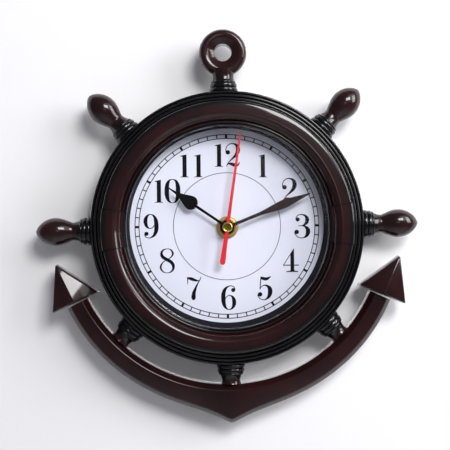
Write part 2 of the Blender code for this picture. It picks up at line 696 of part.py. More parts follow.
def handle_outline():
    """From the knob's tip down to the spigot: egg, waist, neck, beads."""
    outline = [(0, HANDLE_TIP)]
    for i in range(1, 5):
        along = math.cos(math.radians(90 * i / 5))
        radius = KNOB_RADIUS * (1 - along**2) ** KNOB_TIP_POWER
        outline.append((radius, KNOB_AT + along * (HANDLE_TIP - KNOB_AT)))
    for i in range(5):
        along = 1 - i / 5
        ease = (1 - math.cos(math.pi * along**KNOB_RISE_POWER)) / 2
        radius = NECK_RADIUS + (KNOB_RADIUS - NECK_RADIUS) * ease
        outline.append((radius, NECK_AT + along * (KNOB_AT - NECK_AT)))
    neck_top = BEAD_THREE_RADIUS - BEAD_GROOVE
    for i in range(3):
        along = i / 3
        fall = along**NECK_FALL_POWER
        height = NECK_AT + along * (BEAD_THREE_END - NECK_AT)
        outline.append((NECK_RADIUS + (neck_top - NECK_RADIUS) * fall, height))
    return outline + root_outline()


def stub_outline():
    """From the anchor's spigot down: neck, beads, spigot in the rim."""
    end = ARM_INNER_RADIUS - TOUCH_GAP
    outline = [(0, end + STUB_SPIGOT_LENGTH), (STUB_SPIGOT_RADIUS, end + STUB_SPIGOT_LENGTH)]
    outline += [(STUB_SPIGOT_RADIUS, end), (STUB_END_RADIUS, end)]
    neck_top = BEAD_THREE_RADIUS - BEAD_GROOVE
    for i in range(3):
        along = i / 3
        height = STUB_NECK_AT + along * (BEAD_THREE_END - STUB_NECK_AT)
        outline.append((STUB_NECK_RADIUS + (neck_top - STUB_NECK_RADIUS) * along**NECK_FALL_POWER, height))
    return outline + root_outline()


def make_handles_and_stubs():
    for side, angle in HANDLE_ANGLES.items():
        point_outwards(turned(f"handle_{side}", handle_outline(), "mahogany", steps=TURNED_STEPS), angle)
    for side, angle in STUB_ANGLES.items():
        point_outwards(turned(f"stub_{side}", stub_outline(), "mahogany", steps=TURNED_STEPS), angle)


def eye_section():
    """Half section of the eye's ring, down its outer side, as (radius, height from its middle plane)."""
    crest = EYE_HALF_THICKNESS
    side = EYE_RADIUS - EYE_CREST_RADIUS
    section = arc((EYE_CREST_RADIUS, 0), (side, crest), 90, -30, 4)
    section += [(EYE_RADIUS - EYE_BACK_CHAMFER, -crest), (EYE_HOLE_RADIUS, -crest)]
    section += [(EYE_HOLE_RADIUS, crest - EYE_STEP_DEPTH - EYE_SLOPE_DEPTH)]
    section += [(EYE_STEP_RADIUS, crest - EYE_STEP_DEPTH)]
    section += [(EYE_STEP_RADIUS + EYE_STEP_DEPTH / 2, crest - STEP_BEAD / 2)]
    return section


def make_eye():
    eye = turned("hanging_eye", eye_section(), "mahogany", steps=EYE_STEPS)
    eye.location = (0, EYE_CENTRE, AXIS_DEPTH)
    inside = EYE_CENTRE - (EYE_RADIUS + EYE_STEP_RADIUS) / 2
    outline = [(0, inside), (EYE_NECK_RADIUS - BEAD_GROOVE, inside), (EYE_NECK_RADIUS, STUB_NECK_AT)]
    neck = turned("eye_neck", outline + root_outline(EYE_NECK_RADIUS + BEAD_GROOVE), steps=TURNED_STEPS)
    join(eye, point_outwards(neck, EYE_ANGLE))


# Anchor
def arm_outer_radius(degrees_from_bottom):
    """A nearly round outer edge with a crown that rises to a point at the bottom."""
    away = abs(degrees_from_bottom)
    swell = ARM_SWELL * (1 - away / ARM_SPREAD)
    rounded = math.hypot(away, CROWN_ROUNDING) - CROWN_ROUNDING
    return ARM_OUTER_RADIUS + swell + CROWN_RISE * math.exp(-rounded / CROWN_DECAY)


def arm_section(degrees_from_bottom):
    """The arms' section at one angle, as (radius, depth), round from the back's inner corner."""
    outer = arm_outer_radius(degrees_from_bottom)
    return [
        (ARM_INNER_RADIUS, ARM_BACK),
        (ARM_INNER_RADIUS, ARM_WALL_DEPTH),
        (ARM_INNER_RADIUS + ARM_STEP_INSET, ARM_STEP_DEPTH),
        (ARM_INNER_RADIUS + ARM_RIDGE_INSET, ARM_RIDGE_DEPTH),
        (outer - ARM_CHAMFER_WIDTH, ARM_CHAMFER_TOP),
        (outer, ARM_CHAMFER_FOOT),
        (outer, ARM_BACK),
    ]


def make_anchor_arms():
    shape = bmesh.new()
    loops = []
    for i in range(ARM_STEPS + 1):
        share = 2 * i / ARM_STEPS - 1
        # The steps crowd together near the crown, where the edge turns fastest
        degrees = ARM_SPREAD * math.copysign(abs(share) ** ARM_STEPS_POWER, share)
        angle = math.radians(degrees - 90)
        loops.append(
            [shape.verts.new((r * math.cos(angle), r * math.sin(angle), d)) for r, d in arm_section(degrees)]
        )
    for near, far in zip(loops, loops[1:]):
        for k in range(len(near)):
            n = (k + 1) % len(near)
            shape.faces.new((near[k], near[n], far[n], far[k]))
    shape.faces.new(loops[0])
    shape.faces.new(list(reversed(loops[-1])))
    arms = add("anchor_arms", finish_bmesh(shape, "anchor_arms"), "mahogany")
    inner, outer = ARM_INNER_RADIUS + POCKET_WALL, ARM_OUTER_RADIUS - POCKET_WALL
    section = [(outer, POCKET_FLOOR - POCKET_WALL / 2), (outer, 0), (inner, 0), (inner, POCKET_FLOOR)]
    section.append(((inner + outer) / 2, POCKET_FLOOR))
    for index, (start, end) in enumerate(POCKET_ENDS):
        middle, half = (start + end) / 2 - 90, (end - start) / 2
        cut(arms, sector(f"arm_pocket_{index}", section, middle, half, 8))
    for side, angle in STUB_ANGLES.items():
        depth = ARM_INNER_RADIUS + STUB_SPIGOT_LENGTH + TOUCH_GAP
        radius = STUB_SPIGOT_RADIUS + TOUCH_GAP
        socket = rod(f"arm_socket_{side}", radius, STUB_NECK_AT, depth, steps=TURNED_STEPS)
        cut(arms, point_outwards(socket, angle))
    for side in (1, -1):
        cut(arms, fluke_peg(f"arm_end_socket_{side}", side, TOUCH_GAP))


def fluke_frame(side):
    """The middle of the arm's end, and unit vectors along the fluke's base and towards its tip."""
    arm_end = Vector(polar((ARM_INNER_RADIUS + ARM_OUTER_RADIUS) / 2, ARM_SPREAD - 90))
    along_base = Vector(polar(1, ARM_SPREAD - 90 + FLUKE_TILT))
    towards_tip = Vector((-along_base.y, along_base.x))
    return [Vector((side * v.x, v.y)) for v in (arm_end, along_base, towards_tip)]


def fluke_corners(side):
    """The tip, and the base's outer and inner corners, which overhang the arm on both sides."""
    arm_end, along_base, towards_tip = fluke_frame(side)
    seat_gap = TOUCH_GAP + ARM_WIDTH * math.sin(math.radians(FLUKE_TILT))
    seat = arm_end + towards_tip * seat_gap
    tip = seat + towards_tip * FLUKE_LENGTH + along_base * FLUKE_TIP_OFFSET
    outer = seat + along_base * (ARM_WIDTH / 2 + FLUKE_OUTER_OVERHANG)
    inner = seat - along_base * (ARM_WIDTH / 2 + FLUKE_INNER_OVERHANG)
    return tip, outer, inner


def fluke_peg(name, side, gap):
    arm_end, _, towards_tip = fluke_frame(side)
    middle = arm_end + towards_tip * TOUCH_GAP
    peg = rod(name, FLUKE_PEG_RADIUS + gap, -FLUKE_PEG_LENGTH - gap, FLUKE_PEG_LENGTH)
    peg.location = (middle.x, middle.y, AXIS_DEPTH - ARM_STEP_INSET)
    peg.rotation_euler = (0, math.pi / 2, math.atan2(towards_tip.y, towards_tip.x))
    return peg


def make_flukes():
    """Each fluke is a three-sided point: its back is flat, and its front has one ridge and two facets."""
    for name, side in (("fluke_right", 1), ("fluke_left", -1)):
        tip, outer, inner = fluke_corners(side)
        middle = (outer + inner) / 2
        centre = (outer + inner + tip) / 3
        corners = [(*point, AXIS_DEPTH - FLUKE_BACK_DROP) for point in (tip, outer, inner)]
        for point, rise in ((tip, FLUKE_TIP_RISE), (outer, FLUKE_OUTER_RISE), (inner, FLUKE_INNER_RISE)):
            inwards = (centre - point).normalized() * FLUKE_DRAFT
            corners.append((*(point + inwards), AXIS_DEPTH + rise))
        ridge_foot = middle + (centre - middle).normalized() * FLUKE_DRAFT
        corners.append((*ridge_foot, AXIS_DEPTH + FLUKE_RIDGE_RISE))
        shape = bmesh.new()
        points = [shape.verts.new(corner) for corner in corners]
        bmesh.ops.convex_hull(shape, input=points)
        bmesh.ops.dissolve_limit(shape, angle_limit=math.radians(1), verts=shape.verts, edges=shape.edges)
        fluke = add(name, finish_bmesh(shape, name), "mahogany")
        rounding = fluke.modifiers.new("rounding", "BEVEL")
        rounding.width = FLUKE_ROUNDING
        rounding.segments = 2
        join(fluke, fluke_peg(f"peg_{name}", side, 0))


# Lens, dial, spacer and cover

def make_dial_stack():
    ring("dial", DIAL_HOLE_RADIUS, LENS_RADIUS, dial_back, DIAL_FRONT, "dial_white")
    rod("lens", LENS_RADIUS, lens_back, lens_front, "clear", steps=ROUND_STEPS)
    bottom, top = DIAL_FRONT + TOUCH_GAP, lens_back - TOUCH_GAP
    outer = SPACER_INNER_RADIUS + SPACER_WALL
    outline = [(outer, top), (outer, bottom), (SPACER_INNER_RADIUS, bottom)]
    outline += [(SPACER_INNER_RADIUS + SPACER_DRAFT, top)]
    turned("dial_spacer_ring", outline, "mahogany")


def make_back_cover():
    rib_outer = RIB_INNER_RADIUS + RIB_WALL
    outer = RIM_INNER_RADIUS - TOUCH_GAP
    outline = [(0, COVER_THICKNESS), (RIB_INNER_RADIUS, COVER_THICKNESS), (RIB_INNER_RADIUS, cover_rib_end)]
    outline += [(rib_outer, cover_rib_end), (rib_outer, COVER_THICKNESS)]
    outline += [(outer, COVER_THICKNESS), (outer, 0), (0, 0)]
    cover = turned("back_cover", outline, "black_plastic")
    half = CASE_SIDE / 2 + WINDOW_GAP
    cut(cover, block("movement_window", (-half, -half, -OVERRUN), (half, half, COVER_THICKNESS + OVERRUN)))
    for index, angle in enumerate(CASE_SCREW_ANGLES):
        at = polar(SCREW_CIRCLE, angle)
        pad_top = COVER_THICKNESS + SCREW_PAD_HEIGHT
        join(cover, rod(f"screw_pad_{index}", SCREW_PAD_RADIUS, COVER_THICKNESS / 2, pad_top, at=at))
        well = rod(f"screw_well_{index}", SCREW_HEAD_RADIUS + TOUCH_GAP, -OVERRUN, SCREW_WELL_DEPTH, at=at)
        hole = rod(f"screw_hole_{index}", SCREW_SHANK_RADIUS + TOUCH_GAP, 0, pad_top + OVERRUN, at=at)
        cut(cover, well, hole)
        head_top = SCREW_WELL_DEPTH - TOUCH_GAP
        head_bottom = head_top - SCREW_HEAD_HEIGHT
        point = head_top + SCREW_LENGTH
        screw_outline = [(0, point), (SCREW_SHANK_RADIUS, point - SCREW_SHANK_RADIUS)]
        screw_outline += [(SCREW_SHANK_RADIUS, head_top), (SCREW_HEAD_RADIUS, head_top)]
        screw_outline += [(SCREW_HEAD_RADIUS, head_bottom), (0, head_bottom)]
        screw = turned(f"case_screw_{index + 1}", screw_outline, "steel", at=at, steps=SMALL_STEPS)
        reach, half = SCREW_HEAD_RADIUS + OVERRUN, SCREW_SLOT_WIDTH / 2
        slot_top = head_bottom + SCREW_SLOT_DEPTH
        cut(screw, block(f"screw_slot_{index}", (-reach, -half, 0), (reach, half, slot_top), at=at))
    through = (-OVERRUN, COVER_THICKNESS + OVERRUN)
    slot_top = KEYHOLE_SEAT_Y - KEYHOLE_SLOT_RADIUS
    entry = rod("keyhole_entry", KEYHOLE_ENTRY_RADIUS, *through, at=(0, KEYHOLE_ENTRY_Y), steps=24)
    end = rod("keyhole_end", KEYHOLE_SLOT_RADIUS, *through, at=(0, slot_top), steps=SMALL_STEPS)
    half = KEYHOLE_SLOT_RADIUS * math.cos(math.pi / SMALL_STEPS)
    slot = block("keyhole_slot", (-half, KEYHOLE_ENTRY_Y, through[0]), (half, slot_top, through[1]))
    cut(cover, entry, end, slot)


# Hands, nut and washers
def turned_hand(outline, degrees):
    """A hand drawn pointing up, turned clockwise from twelve."""
    angle = math.radians(-degrees)
    c, s = math.cos(angle), math.sin(angle)
    return [(x * c - y * s, x * s + y * c) for x, y in outline]


def mirrored(half_outline):
    return half_outline + [(-x, y) for x, y in reversed(half_outline)]


def hand(name, half_outline, degrees, bottom, hub_radius, hole_radius, material):
    """A thin hand with a round hub and a hole; the hub's outline is a second solid joined to the blade."""
    blade_outline = turned_hand(mirrored(half_outline), degrees)
    blade = plate(name, [blade_outline], bottom, bottom + HAND_THICKNESS, material)
    hub = rod(name + "_hub", hub_radius, bottom, bottom + HAND_THICKNESS, steps=24)
    join(blade, hub)
    hole = rod(name + "_hole", hole_radius, bottom - OVERRUN, bottom + OVERRUN, steps=24)
    return cut(blade, hole)


def hour_hand_outline():
    stem, bulb = HOUR_HAND_STEM / 2, HOUR_BULB_HALF_WIDTH
    outline = [(stem, 0), (stem, HOUR_BULB_START)]
    outline += arc((0, HOUR_BULB_AT), (bulb, HOUR_BULB_AT - HOUR_BULB_START), -60, 0, 4)
    for i in range(1, 6):
        along = i / 6
        height = HOUR_BULB_AT + along * (HOUR_BULB_END - HOUR_BULB_AT)
        outline.append((stem + (bulb - stem) * (1 - along) ** HOUR_BULB_POWER, height))
    return outline + [(HOUR_HAND_TIP / 2, HOUR_BULB_END), (HOUR_HAND_TIP / 4, HOUR_HAND_LENGTH)]


def make_hands():
    hole = PIPE_RADIUS + HAND_PLAY
    hand("hour_hand", hour_hand_outline(), HOUR_HAND_ANGLE, HOUR_HAND_DEPTH, HUB_RADIUS, hole, "hand_black")
    outline = [(MINUTE_HAND_STEM / 2, 0), (MINUTE_HAND_WIDTH / 2, MINUTE_WIDEST_AT)]
    outline.append((MINUTE_HAND_TIP / 2, MINUTE_HAND_LENGTH))
    hole = TUBE_RADIUS + HAND_PLAY
    hand("minute_hand", outline, MINUTE_HAND_ANGLE, MINUTE_HAND_DEPTH, MINUTE_HUB_RADIUS, hole, "hand_black")
    tail = SECOND_TAIL_END / 2
    outline = arc((0, tail - SECOND_HAND_TAIL), (tail, tail), -75, 0, 4)
    outline += [(SECOND_TAIL_ROOT / 2, -SECOND_HUB_RADIUS), (SECOND_HAND_ROOT / 2, SECOND_HUB_RADIUS)]
    outline += [(SECOND_HAND_TIP / 2, SECOND_HAND_LENGTH)]
    hole = SECONDS_SHAFT_RADIUS + HAND_PLAY
    hand("second_hand", outline, SECOND_HAND_ANGLE, SECOND_HAND_DEPTH, SECOND_HUB_RADIUS, hole, "hand_red")
    cap_top = cap_bottom + CAP_HEIGHT
    chamfer = CAP_HEIGHT / 3
    blind_radius, blind_end = SECONDS_SHAFT_RADIUS + HAND_PLAY, shaft_top + PART_PLAY
    outline = [(0, cap_top), (CAP_RADIUS - chamfer, cap_top), (CAP_RADIUS, cap_top - chamfer)]
    outline += [(CAP_RADIUS, cap_bottom), (blind_radius, cap_bottom)]
    outline += [(blind_radius, blind_end), (0, blind_end)]
    turned("second_hand_cap", outline, "brass", steps=24)


def make_nut_and_washers():
    plate_front = CASE_FRONT
    ring("rubber_washer", DIAL_HOLE_RADIUS, WASHER_RADIUS, plate_front + TOUCH_GAP,
         plate_front + TOUCH_GAP + RUBBER_THICKNESS, "rubber", steps=20)
    bottom = DIAL_FRONT + TOUCH_GAP
    top = bottom + NUT_WASHER_THICKNESS
    ring("dial_washer", DIAL_HOLE_RADIUS, NUT_WASHER_RADIUS, bottom, top, "brass", steps=24)
    bore, nut_top = BUSH_RADIUS + BUSH_PLAY, nut_bottom + NUT_THICKNESS
    outline = [(bore, nut_top), (NUT_RADIUS - NUT_CHAMFER, nut_top), (NUT_RADIUS, nut_top - NUT_CHAMFER)]
    outline += [(NUT_RADIUS, nut_bottom), (bore, nut_bottom)]
    turned("fixing_nut", outline, "brass", steps=24)


# Movement
def place(distance, degrees, start=(0, 0)):
    x, y = polar(distance, degrees)
    return (start[0] + x, start[1] + y)


def spacing(name):
    return sum(TRAIN_TEETH[name]) * TRAIN_MODULES[name] / 2


def wheel_plane(name):
    height, thickness = TRAIN_HEIGHTS[name]
    return CASE_BACK + height, CASE_BACK + height + thickness


fifth_at = place(spacing("seconds"), FIFTH_ANGLE)
third_at = place(spacing("third"), THIRD_ANGLE)
rotor_at = place(spacing("fifth"), ROTOR_ANGLE, fifth_at)
minute_wheel_at = place(spacing("minute"), MINUTE_WHEEL_ANGLE)
knob_at = place(spacing("minute"), KNOB_ANGLE, minute_wheel_at)
floor_front = CASE_BACK + CASE_WALL
boss_top = floor_front + PIVOT_BOSS_HEIGHT


def wheel_outline(train, towards):
    """Pointed teeth, one of them on the line of centres."""
    teeth, module = TRAIN_TEETH[train][0], TRAIN_MODULES[train]
    outline = []
    for k in range(teeth):
        step = 360 / teeth
        outline.append(polar(teeth * module / 2 + TIP_SHARE * module, towards + k * step))
        outline.append(polar(teeth * module / 2 - ROOT_SHARE * module, towards + (k + 0.5) * step))
    return outline


def leaf_outline(train, towards, leaf_there=False):
    """Narrow leaves, with a gap on the line of centres unless a leaf belongs there."""
    leaves, module = TRAIN_TEETH[train][1], TRAIN_MODULES[train]
    step = 360 / leaves
    first = towards + (0 if leaf_there else step / 2)
    root = leaves * module / 2 - LEAF_ROOT_SHARE * module
    tip = leaves * module / 2 + LEAF_TIP_SHARE * module
    outline = []
    for k in range(leaves):
        middle = first + k * step
        outline.append(polar(root, middle - LEAF_ROOT_WIDTH_SHARE * step / 2))
        outline.append(polar(tip, middle - LEAF_TIP_WIDTH_SHARE * step / 2))
        outline.append(polar(tip, middle + LEAF_TIP_WIDTH_SHARE * step / 2))
        outline.append(polar(root, middle + LEAF_ROOT_WIDTH_SHARE * step / 2))
    return outline


def toothed(name, outline, bottom, top, at):
    return plate(name, [outline], bottom, top, at=at)


def make_train():
    top_pivot = plate_back + PIVOT_DEPTH
    bottom_pivot = boss_top - PIVOT_DEPTH
    seconds_low, seconds_high = wheel_plane("seconds")
    third_low, third_high = wheel_plane("third")
    fifth_low, fifth_high = wheel_plane("fifth")
    centre_low, centre_high = wheel_plane("centre")
    shaft = rod("seconds_wheel", SECONDS_SHAFT_RADIUS, bottom_pivot, shaft_top, "nylon")
    wheel = toothed("seconds_teeth", wheel_outline("seconds", FIFTH_ANGLE), seconds_low, seconds_high, (0, 0))
    high = third_high + LEAF_OVERREACH
    leaves = toothed("seconds_leaves", leaf_outline("third", THIRD_ANGLE), seconds_low, high, (0, 0))
    join(shaft, wheel, leaves)
    shaft = rod("fifth_wheel", PIVOT_RADIUS, bottom_pivot, top_pivot, "nylon", at=fifth_at)
    wheel = toothed("fifth_teeth", wheel_outline("fifth", ROTOR_ANGLE), fifth_low, fifth_high, fifth_at)
    low = seconds_low - LEAF_OVERREACH
    leaves = toothed("fifth_leaves", leaf_outline("seconds", FIFTH_ANGLE + 180), low, fifth_high, fifth_at)
    join(shaft, wheel, leaves)
    shaft = rod("third_wheel", PIVOT_RADIUS, bottom_pivot, top_pivot, "nylon", at=third_at)
    wheel = toothed("third_teeth", wheel_outline("third", THIRD_ANGLE + 180), third_low, third_high, third_at)
    high = centre_high + LEAF_OVERREACH
    leaves = toothed("third_leaves", leaf_outline("centre", THIRD_ANGLE + 180), third_low, high, third_at)
    join(shaft, wheel, leaves)
    bore = circle(PIPE_BORE, 24)
    plate("centre_wheel", [wheel_outline("centre", THIRD_ANGLE), bore], centre_low, centre_high, "nylon")
    shaft = rod("rotor", PIVOT_RADIUS, bottom_pivot, top_pivot, "nylon", at=rotor_at)
    low = fifth_low - LEAF_OVERREACH
    middle = ROTOR_MAGNET_BOTTOM
    leaves = toothed("rotor_leaves", leaf_outline("fifth", ROTOR_ANGLE + 180), low, middle, rotor_at)
    magnet = rod("rotor_magnet", ROTOR_MAGNET_RADIUS, middle, ROTOR_MAGNET_TOP, at=rotor_at, steps=24)
    join(shaft, leaves, magnet)


def make_motion_work():
    low, high = wheel_plane("minute")
    hour_low, hour_high = wheel_plane("hour")
    tube_bottom = wheel_plane("centre")[0] - PART_PLAY
    tube_top = MINUTE_HAND_DEPTH + 2 * HAND_THICKNESS
    tube = rod("minute_arbor", TUBE_RADIUS, tube_bottom, tube_top, "nylon", steps=24)
    collar_bottom = wheel_plane("centre")[1] + PART_PLAY
    collar = rod("arbor_collar", TUBE_COLLAR_RADIUS, collar_bottom, low - LEAF_OVERREACH / 2, steps=24)
    cannon = leaf_outline("minute", MINUTE_WHEEL_ANGLE)
    leaves = toothed("cannon_leaves", cannon, low - LEAF_OVERREACH, high + LEAF_OVERREACH, (0, 0))
    join(tube, collar, leaves)
    cut(tube, rod("arbor_bore", TUBE_BORE, tube_bottom - OVERRUN, tube_top + OVERRUN))
    wheel = plate("minute_wheel", [wheel_outline("minute", 0)], low, high, "nylon", at=minute_wheel_at)
    top = hour_high + LEAF_OVERREACH
    join(wheel, toothed("minute_leaves", leaf_outline("hour", 0), (low + high) / 2, top, minute_wheel_at))
    cut(wheel, rod("minute_wheel_bore", POST_BORE, low - OVERRUN, top + OVERRUN, at=minute_wheel_at))
    wheel = plate("hour_wheel", [wheel_outline("hour", MINUTE_WHEEL_ANGLE)], hour_low, hour_high, "nylon")
    pipe_bottom = hour_low - LEAF_OVERREACH
    pipe_top = HOUR_HAND_DEPTH + 2 * HAND_THICKNESS
    join(wheel, rod("hour_pipe", PIPE_RADIUS, pipe_bottom, pipe_top, steps=24))
    cut(wheel, rod("hour_pipe_bore", PIPE_BORE, pipe_bottom - OVERRUN, pipe_top + OVERRUN, steps=24))
    head_top = KNOB_HEAD_BOTTOM + KNOB_HEAD_HEIGHT
    shaft_end = plate_back + PIVOT_DEPTH
    knob = rod("setting_knob", KNOB_SHAFT_RADIUS, KNOB_HEAD_BOTTOM, shaft_end, "nylon", at=knob_at)
    grips = []
    for k in range(KNOB_GRIPS):
        step = 360 / KNOB_GRIPS
        grips.append(polar(KNOB_HEAD_RADIUS, k * step))
        grips.append(polar(KNOB_HEAD_RADIUS, (k + 0.5) * step))
        grips.append(polar(KNOB_HEAD_RADIUS - KNOB_GRIP_DEPTH, (k + 0.75) * step))
    head = plate("knob_head", [grips], KNOB_HEAD_BOTTOM, head_top, at=knob_at)
    leaves = leaf_outline("minute", KNOB_ANGLE + 180, leaf_there=True)
    join(knob, head, toothed("knob_leaves", leaves, low - LEAF_OVERREACH, high + LEAF_OVERREACH, knob_at))


def make_motor():
    """Stator plate round the rotor, with the coil on a core that bridges its two legs."""
    right = COIL_X + COIL_CORE
    outer_edge = rotor_at[0] + ROTOR_MAGNET_RADIUS + 2 * STATOR_GAP
    leg_low, leg_high = STATOR_LOW + LEG_WIDTH, STATOR_HIGH - LEG_WIDTH
    outline = [(STATOR_LEFT, STATOR_LOW), (right, STATOR_LOW), (right, leg_low), (outer_edge, leg_low)]
    outline += [(outer_edge, leg_high), (right, leg_high), (right, STATOR_HIGH), (STATOR_LEFT, STATOR_HIGH)]
    hole = circle(ROTOR_MAGNET_RADIUS + STATOR_GAP, 24, rotor_at)
    plate("stator", [outline, hole], STATOR_BOTTOM, STATOR_TOP, "steel")
    low = STATOR_TOP + TOUCH_GAP
    half, high = COIL_CORE / 2, low + COIL_CORE
    middle = (low + high) / 2
    block("coil_core", (COIL_X - half, STATOR_LOW, low), (COIL_X + half, STATOR_HIGH, high), "steel")
    bore = half + TOUCH_GAP
    tube_outer = bore + BOBBIN_WALL
    flange = BOBBIN_FLANGE
    bobbin = block("coil_bobbin", (COIL_X - tube_outer, COIL_LOW, middle - tube_outer),
                   (COIL_X + tube_outer, COIL_HIGH, middle + tube_outer), "nylon")
    for name, start in (("low", COIL_LOW), ("high", COIL_HIGH - BOBBIN_FLANGE_THICKNESS)):
        end = start + BOBBIN_FLANGE_THICKNESS
        low_corner = (COIL_X - flange, start, middle - flange)
        join(bobbin, block(f"bobbin_flange_{name}", low_corner, (COIL_X + flange, end, middle + flange)))
    low_corner = (COIL_X - bore, COIL_LOW - OVERRUN, middle - bore)
    cut(bobbin, block("bobbin_bore", low_corner, (COIL_X + bore, COIL_HIGH + OVERRUN, middle + bore)))
    start = COIL_LOW + BOBBIN_FLANGE_THICKNESS + PART_PLAY
    end = COIL_HIGH - BOBBIN_FLANGE_THICKNESS - PART_PLAY
    winding = rod("coil_winding", COIL_RADIUS, start, end, "copper", steps=16)
    winding.location = (COIL_X, 0, middle)
    winding.rotation_euler = (-math.pi / 2, 0, 0)
    inside = tube_outer + PART_PLAY
    low_corner = (COIL_X - inside, start - OVERRUN, middle - inside)
    cut(winding, block("winding_hollow", low_corner, (COIL_X + inside, end + OVERRUN, middle + inside)))


def make_board():
    top = BOARD_BOTTOM + BOARD_THICKNESS
    block("circuit_board", (*BOARD_LOW, BOARD_BOTTOM), (*BOARD_HIGH, top), "board_green")
    centre_y = (BOARD_LOW[1] + BOARD_HIGH[1]) / 2
    cap_x = (BOARD_LOW[0] + BOARD_HIGH[0]) / 2
    bottom = top + PART_PLAY
    cap_at = (cap_x, centre_y)
    rod("chip_cap", CHIP_CAP_RADIUS, bottom, bottom + CHIP_CAP_HEIGHT, "black_plastic", at=cap_at, steps=20)
    crystal = rod("quartz_crystal", CRYSTAL_RADIUS, 0, CRYSTAL_LENGTH, "steel")
    crystal.location = (BOARD_LOW[0] + CRYSTAL_RADIUS, centre_y, BOARD_BOTTOM - PART_PLAY - CRYSTAL_RADIUS)
    crystal.rotation_euler = (0, math.pi / 2, 0)


def board_posts():
    inset = BOARD_POST_RADIUS + OVERRUN
    return [(x, y) for x in (BOARD_LOW[0] + inset, BOARD_HIGH[0] - inset) for y in (BOARD_HIGH[1] - inset,)]


def make_movement_cases():
    half = CASE_SIDE / 2
    walls_top = plate_back - TOUCH_GAP
    inner = half - CASE_WALL
    back = block("movement_back_case", (-half, -half, CASE_BACK), (half, half, walls_top), "black_plastic")
    cut(back, block("back_case_inside", (-inner, -inner, floor_front), (inner, inner, CASE_FRONT)))
    trough_top = CELL_Y + CELL_RADIUS + CELL_CLEARANCE
    trough_bottom = CELL_Y - CELL_RADIUS - CELL_CLEARANCE
    wall = block("trough_wall", (-half + CASE_WALL / 2, trough_top, CASE_BACK + CASE_WALL / 2),
                 (half - CASE_WALL / 2, trough_top + CASE_WALL, walls_top))
    join(back, wall)
    reach = CELL_NUB_END + CELL_CLEARANCE
    cut(back, block("cell_opening", (-reach, trough_bottom, 0), (reach, trough_top, floor_front + OVERRUN)))
    for name, at in (("seconds", (0, 0)), ("fifth", fifth_at), ("third", third_at), ("rotor", rotor_at)):
        join(back, rod(f"boss_{name}", PIVOT_BOSS_RADIUS, CASE_BACK + CASE_WALL / 2, boss_top, at=at))
        radius = (SECONDS_SHAFT_RADIUS if name == "seconds" else PIVOT_RADIUS) + PIVOT_PLAY
        cut(back, rod(f"pivot_{name}", radius, boss_top - PIVOT_DEPTH - PART_PLAY, CASE_FRONT, at=at))
    cut(back, rod("knob_hole", KNOB_SHAFT_RADIUS + BUSH_PLAY, 0, CASE_FRONT, at=knob_at))

    corners = (-half, -half, plate_back), (half, half, CASE_FRONT)
    front = block("movement_front_case", *corners, "black_plastic")
    through = (plate_back - OVERRUN, CASE_FRONT + OVERRUN)
    cut(front, rod("bush_seat", BUSH_RADIUS + BUSH_PLAY, *through, steps=24))
    post_bottom = wheel_plane("minute")[0] - LEAF_OVERREACH
    middle = (plate_back + CASE_FRONT) / 2
    join(front, rod("minute_post", POST_RADIUS, post_bottom, middle, at=minute_wheel_at))
    for name, at in (("fifth", fifth_at), ("third", third_at), ("rotor", rotor_at)):
        hole_top = plate_back + PIVOT_DEPTH + PART_PLAY
        cut(front, rod(f"front_pivot_{name}", PIVOT_RADIUS + PIVOT_PLAY, 0, hole_top, at=at))
    hole_top = plate_back + PIVOT_DEPTH + PART_PLAY
    cut(front, rod("front_knob_hole", KNOB_SHAFT_RADIUS + BUSH_PLAY, 0, hole_top, at=knob_at))
    stator_x = STATOR_LEFT + STATOR_POST_RADIUS + PART_PLAY
    for index, y in enumerate((STATOR_LOW + LEG_WIDTH / 2, STATOR_HIGH - LEG_WIDTH / 2)):
        bottom = STATOR_TOP + TOUCH_GAP
        join(front, rod(f"stator_post_{index}", STATOR_POST_RADIUS, bottom, middle, at=(stator_x, y)))
    for index, at in enumerate(board_posts()):
        bottom = BOARD_BOTTOM + BOARD_THICKNESS + TOUCH_GAP
        join(front, rod(f"board_post_{index}", BOARD_POST_RADIUS, bottom, middle, at=at))


def make_bush():
    flange_top = plate_back - PART_PLAY
    outline = [(BUSH_RADIUS, bush_top), (BUSH_RADIUS, flange_top), (BUSH_FLANGE_RADIUS, flange_top)]
    outline += [(BUSH_FLANGE_RADIUS, flange_top - BUSH_FLANGE_THICKNESS)]
    outline += [(BUSH_HOLE_RADIUS, flange_top - BUSH_FLANGE_THICKNESS), (BUSH_HOLE_RADIUS, bush_top)]
    turned("threaded_bush", outline, "brass", steps=24)


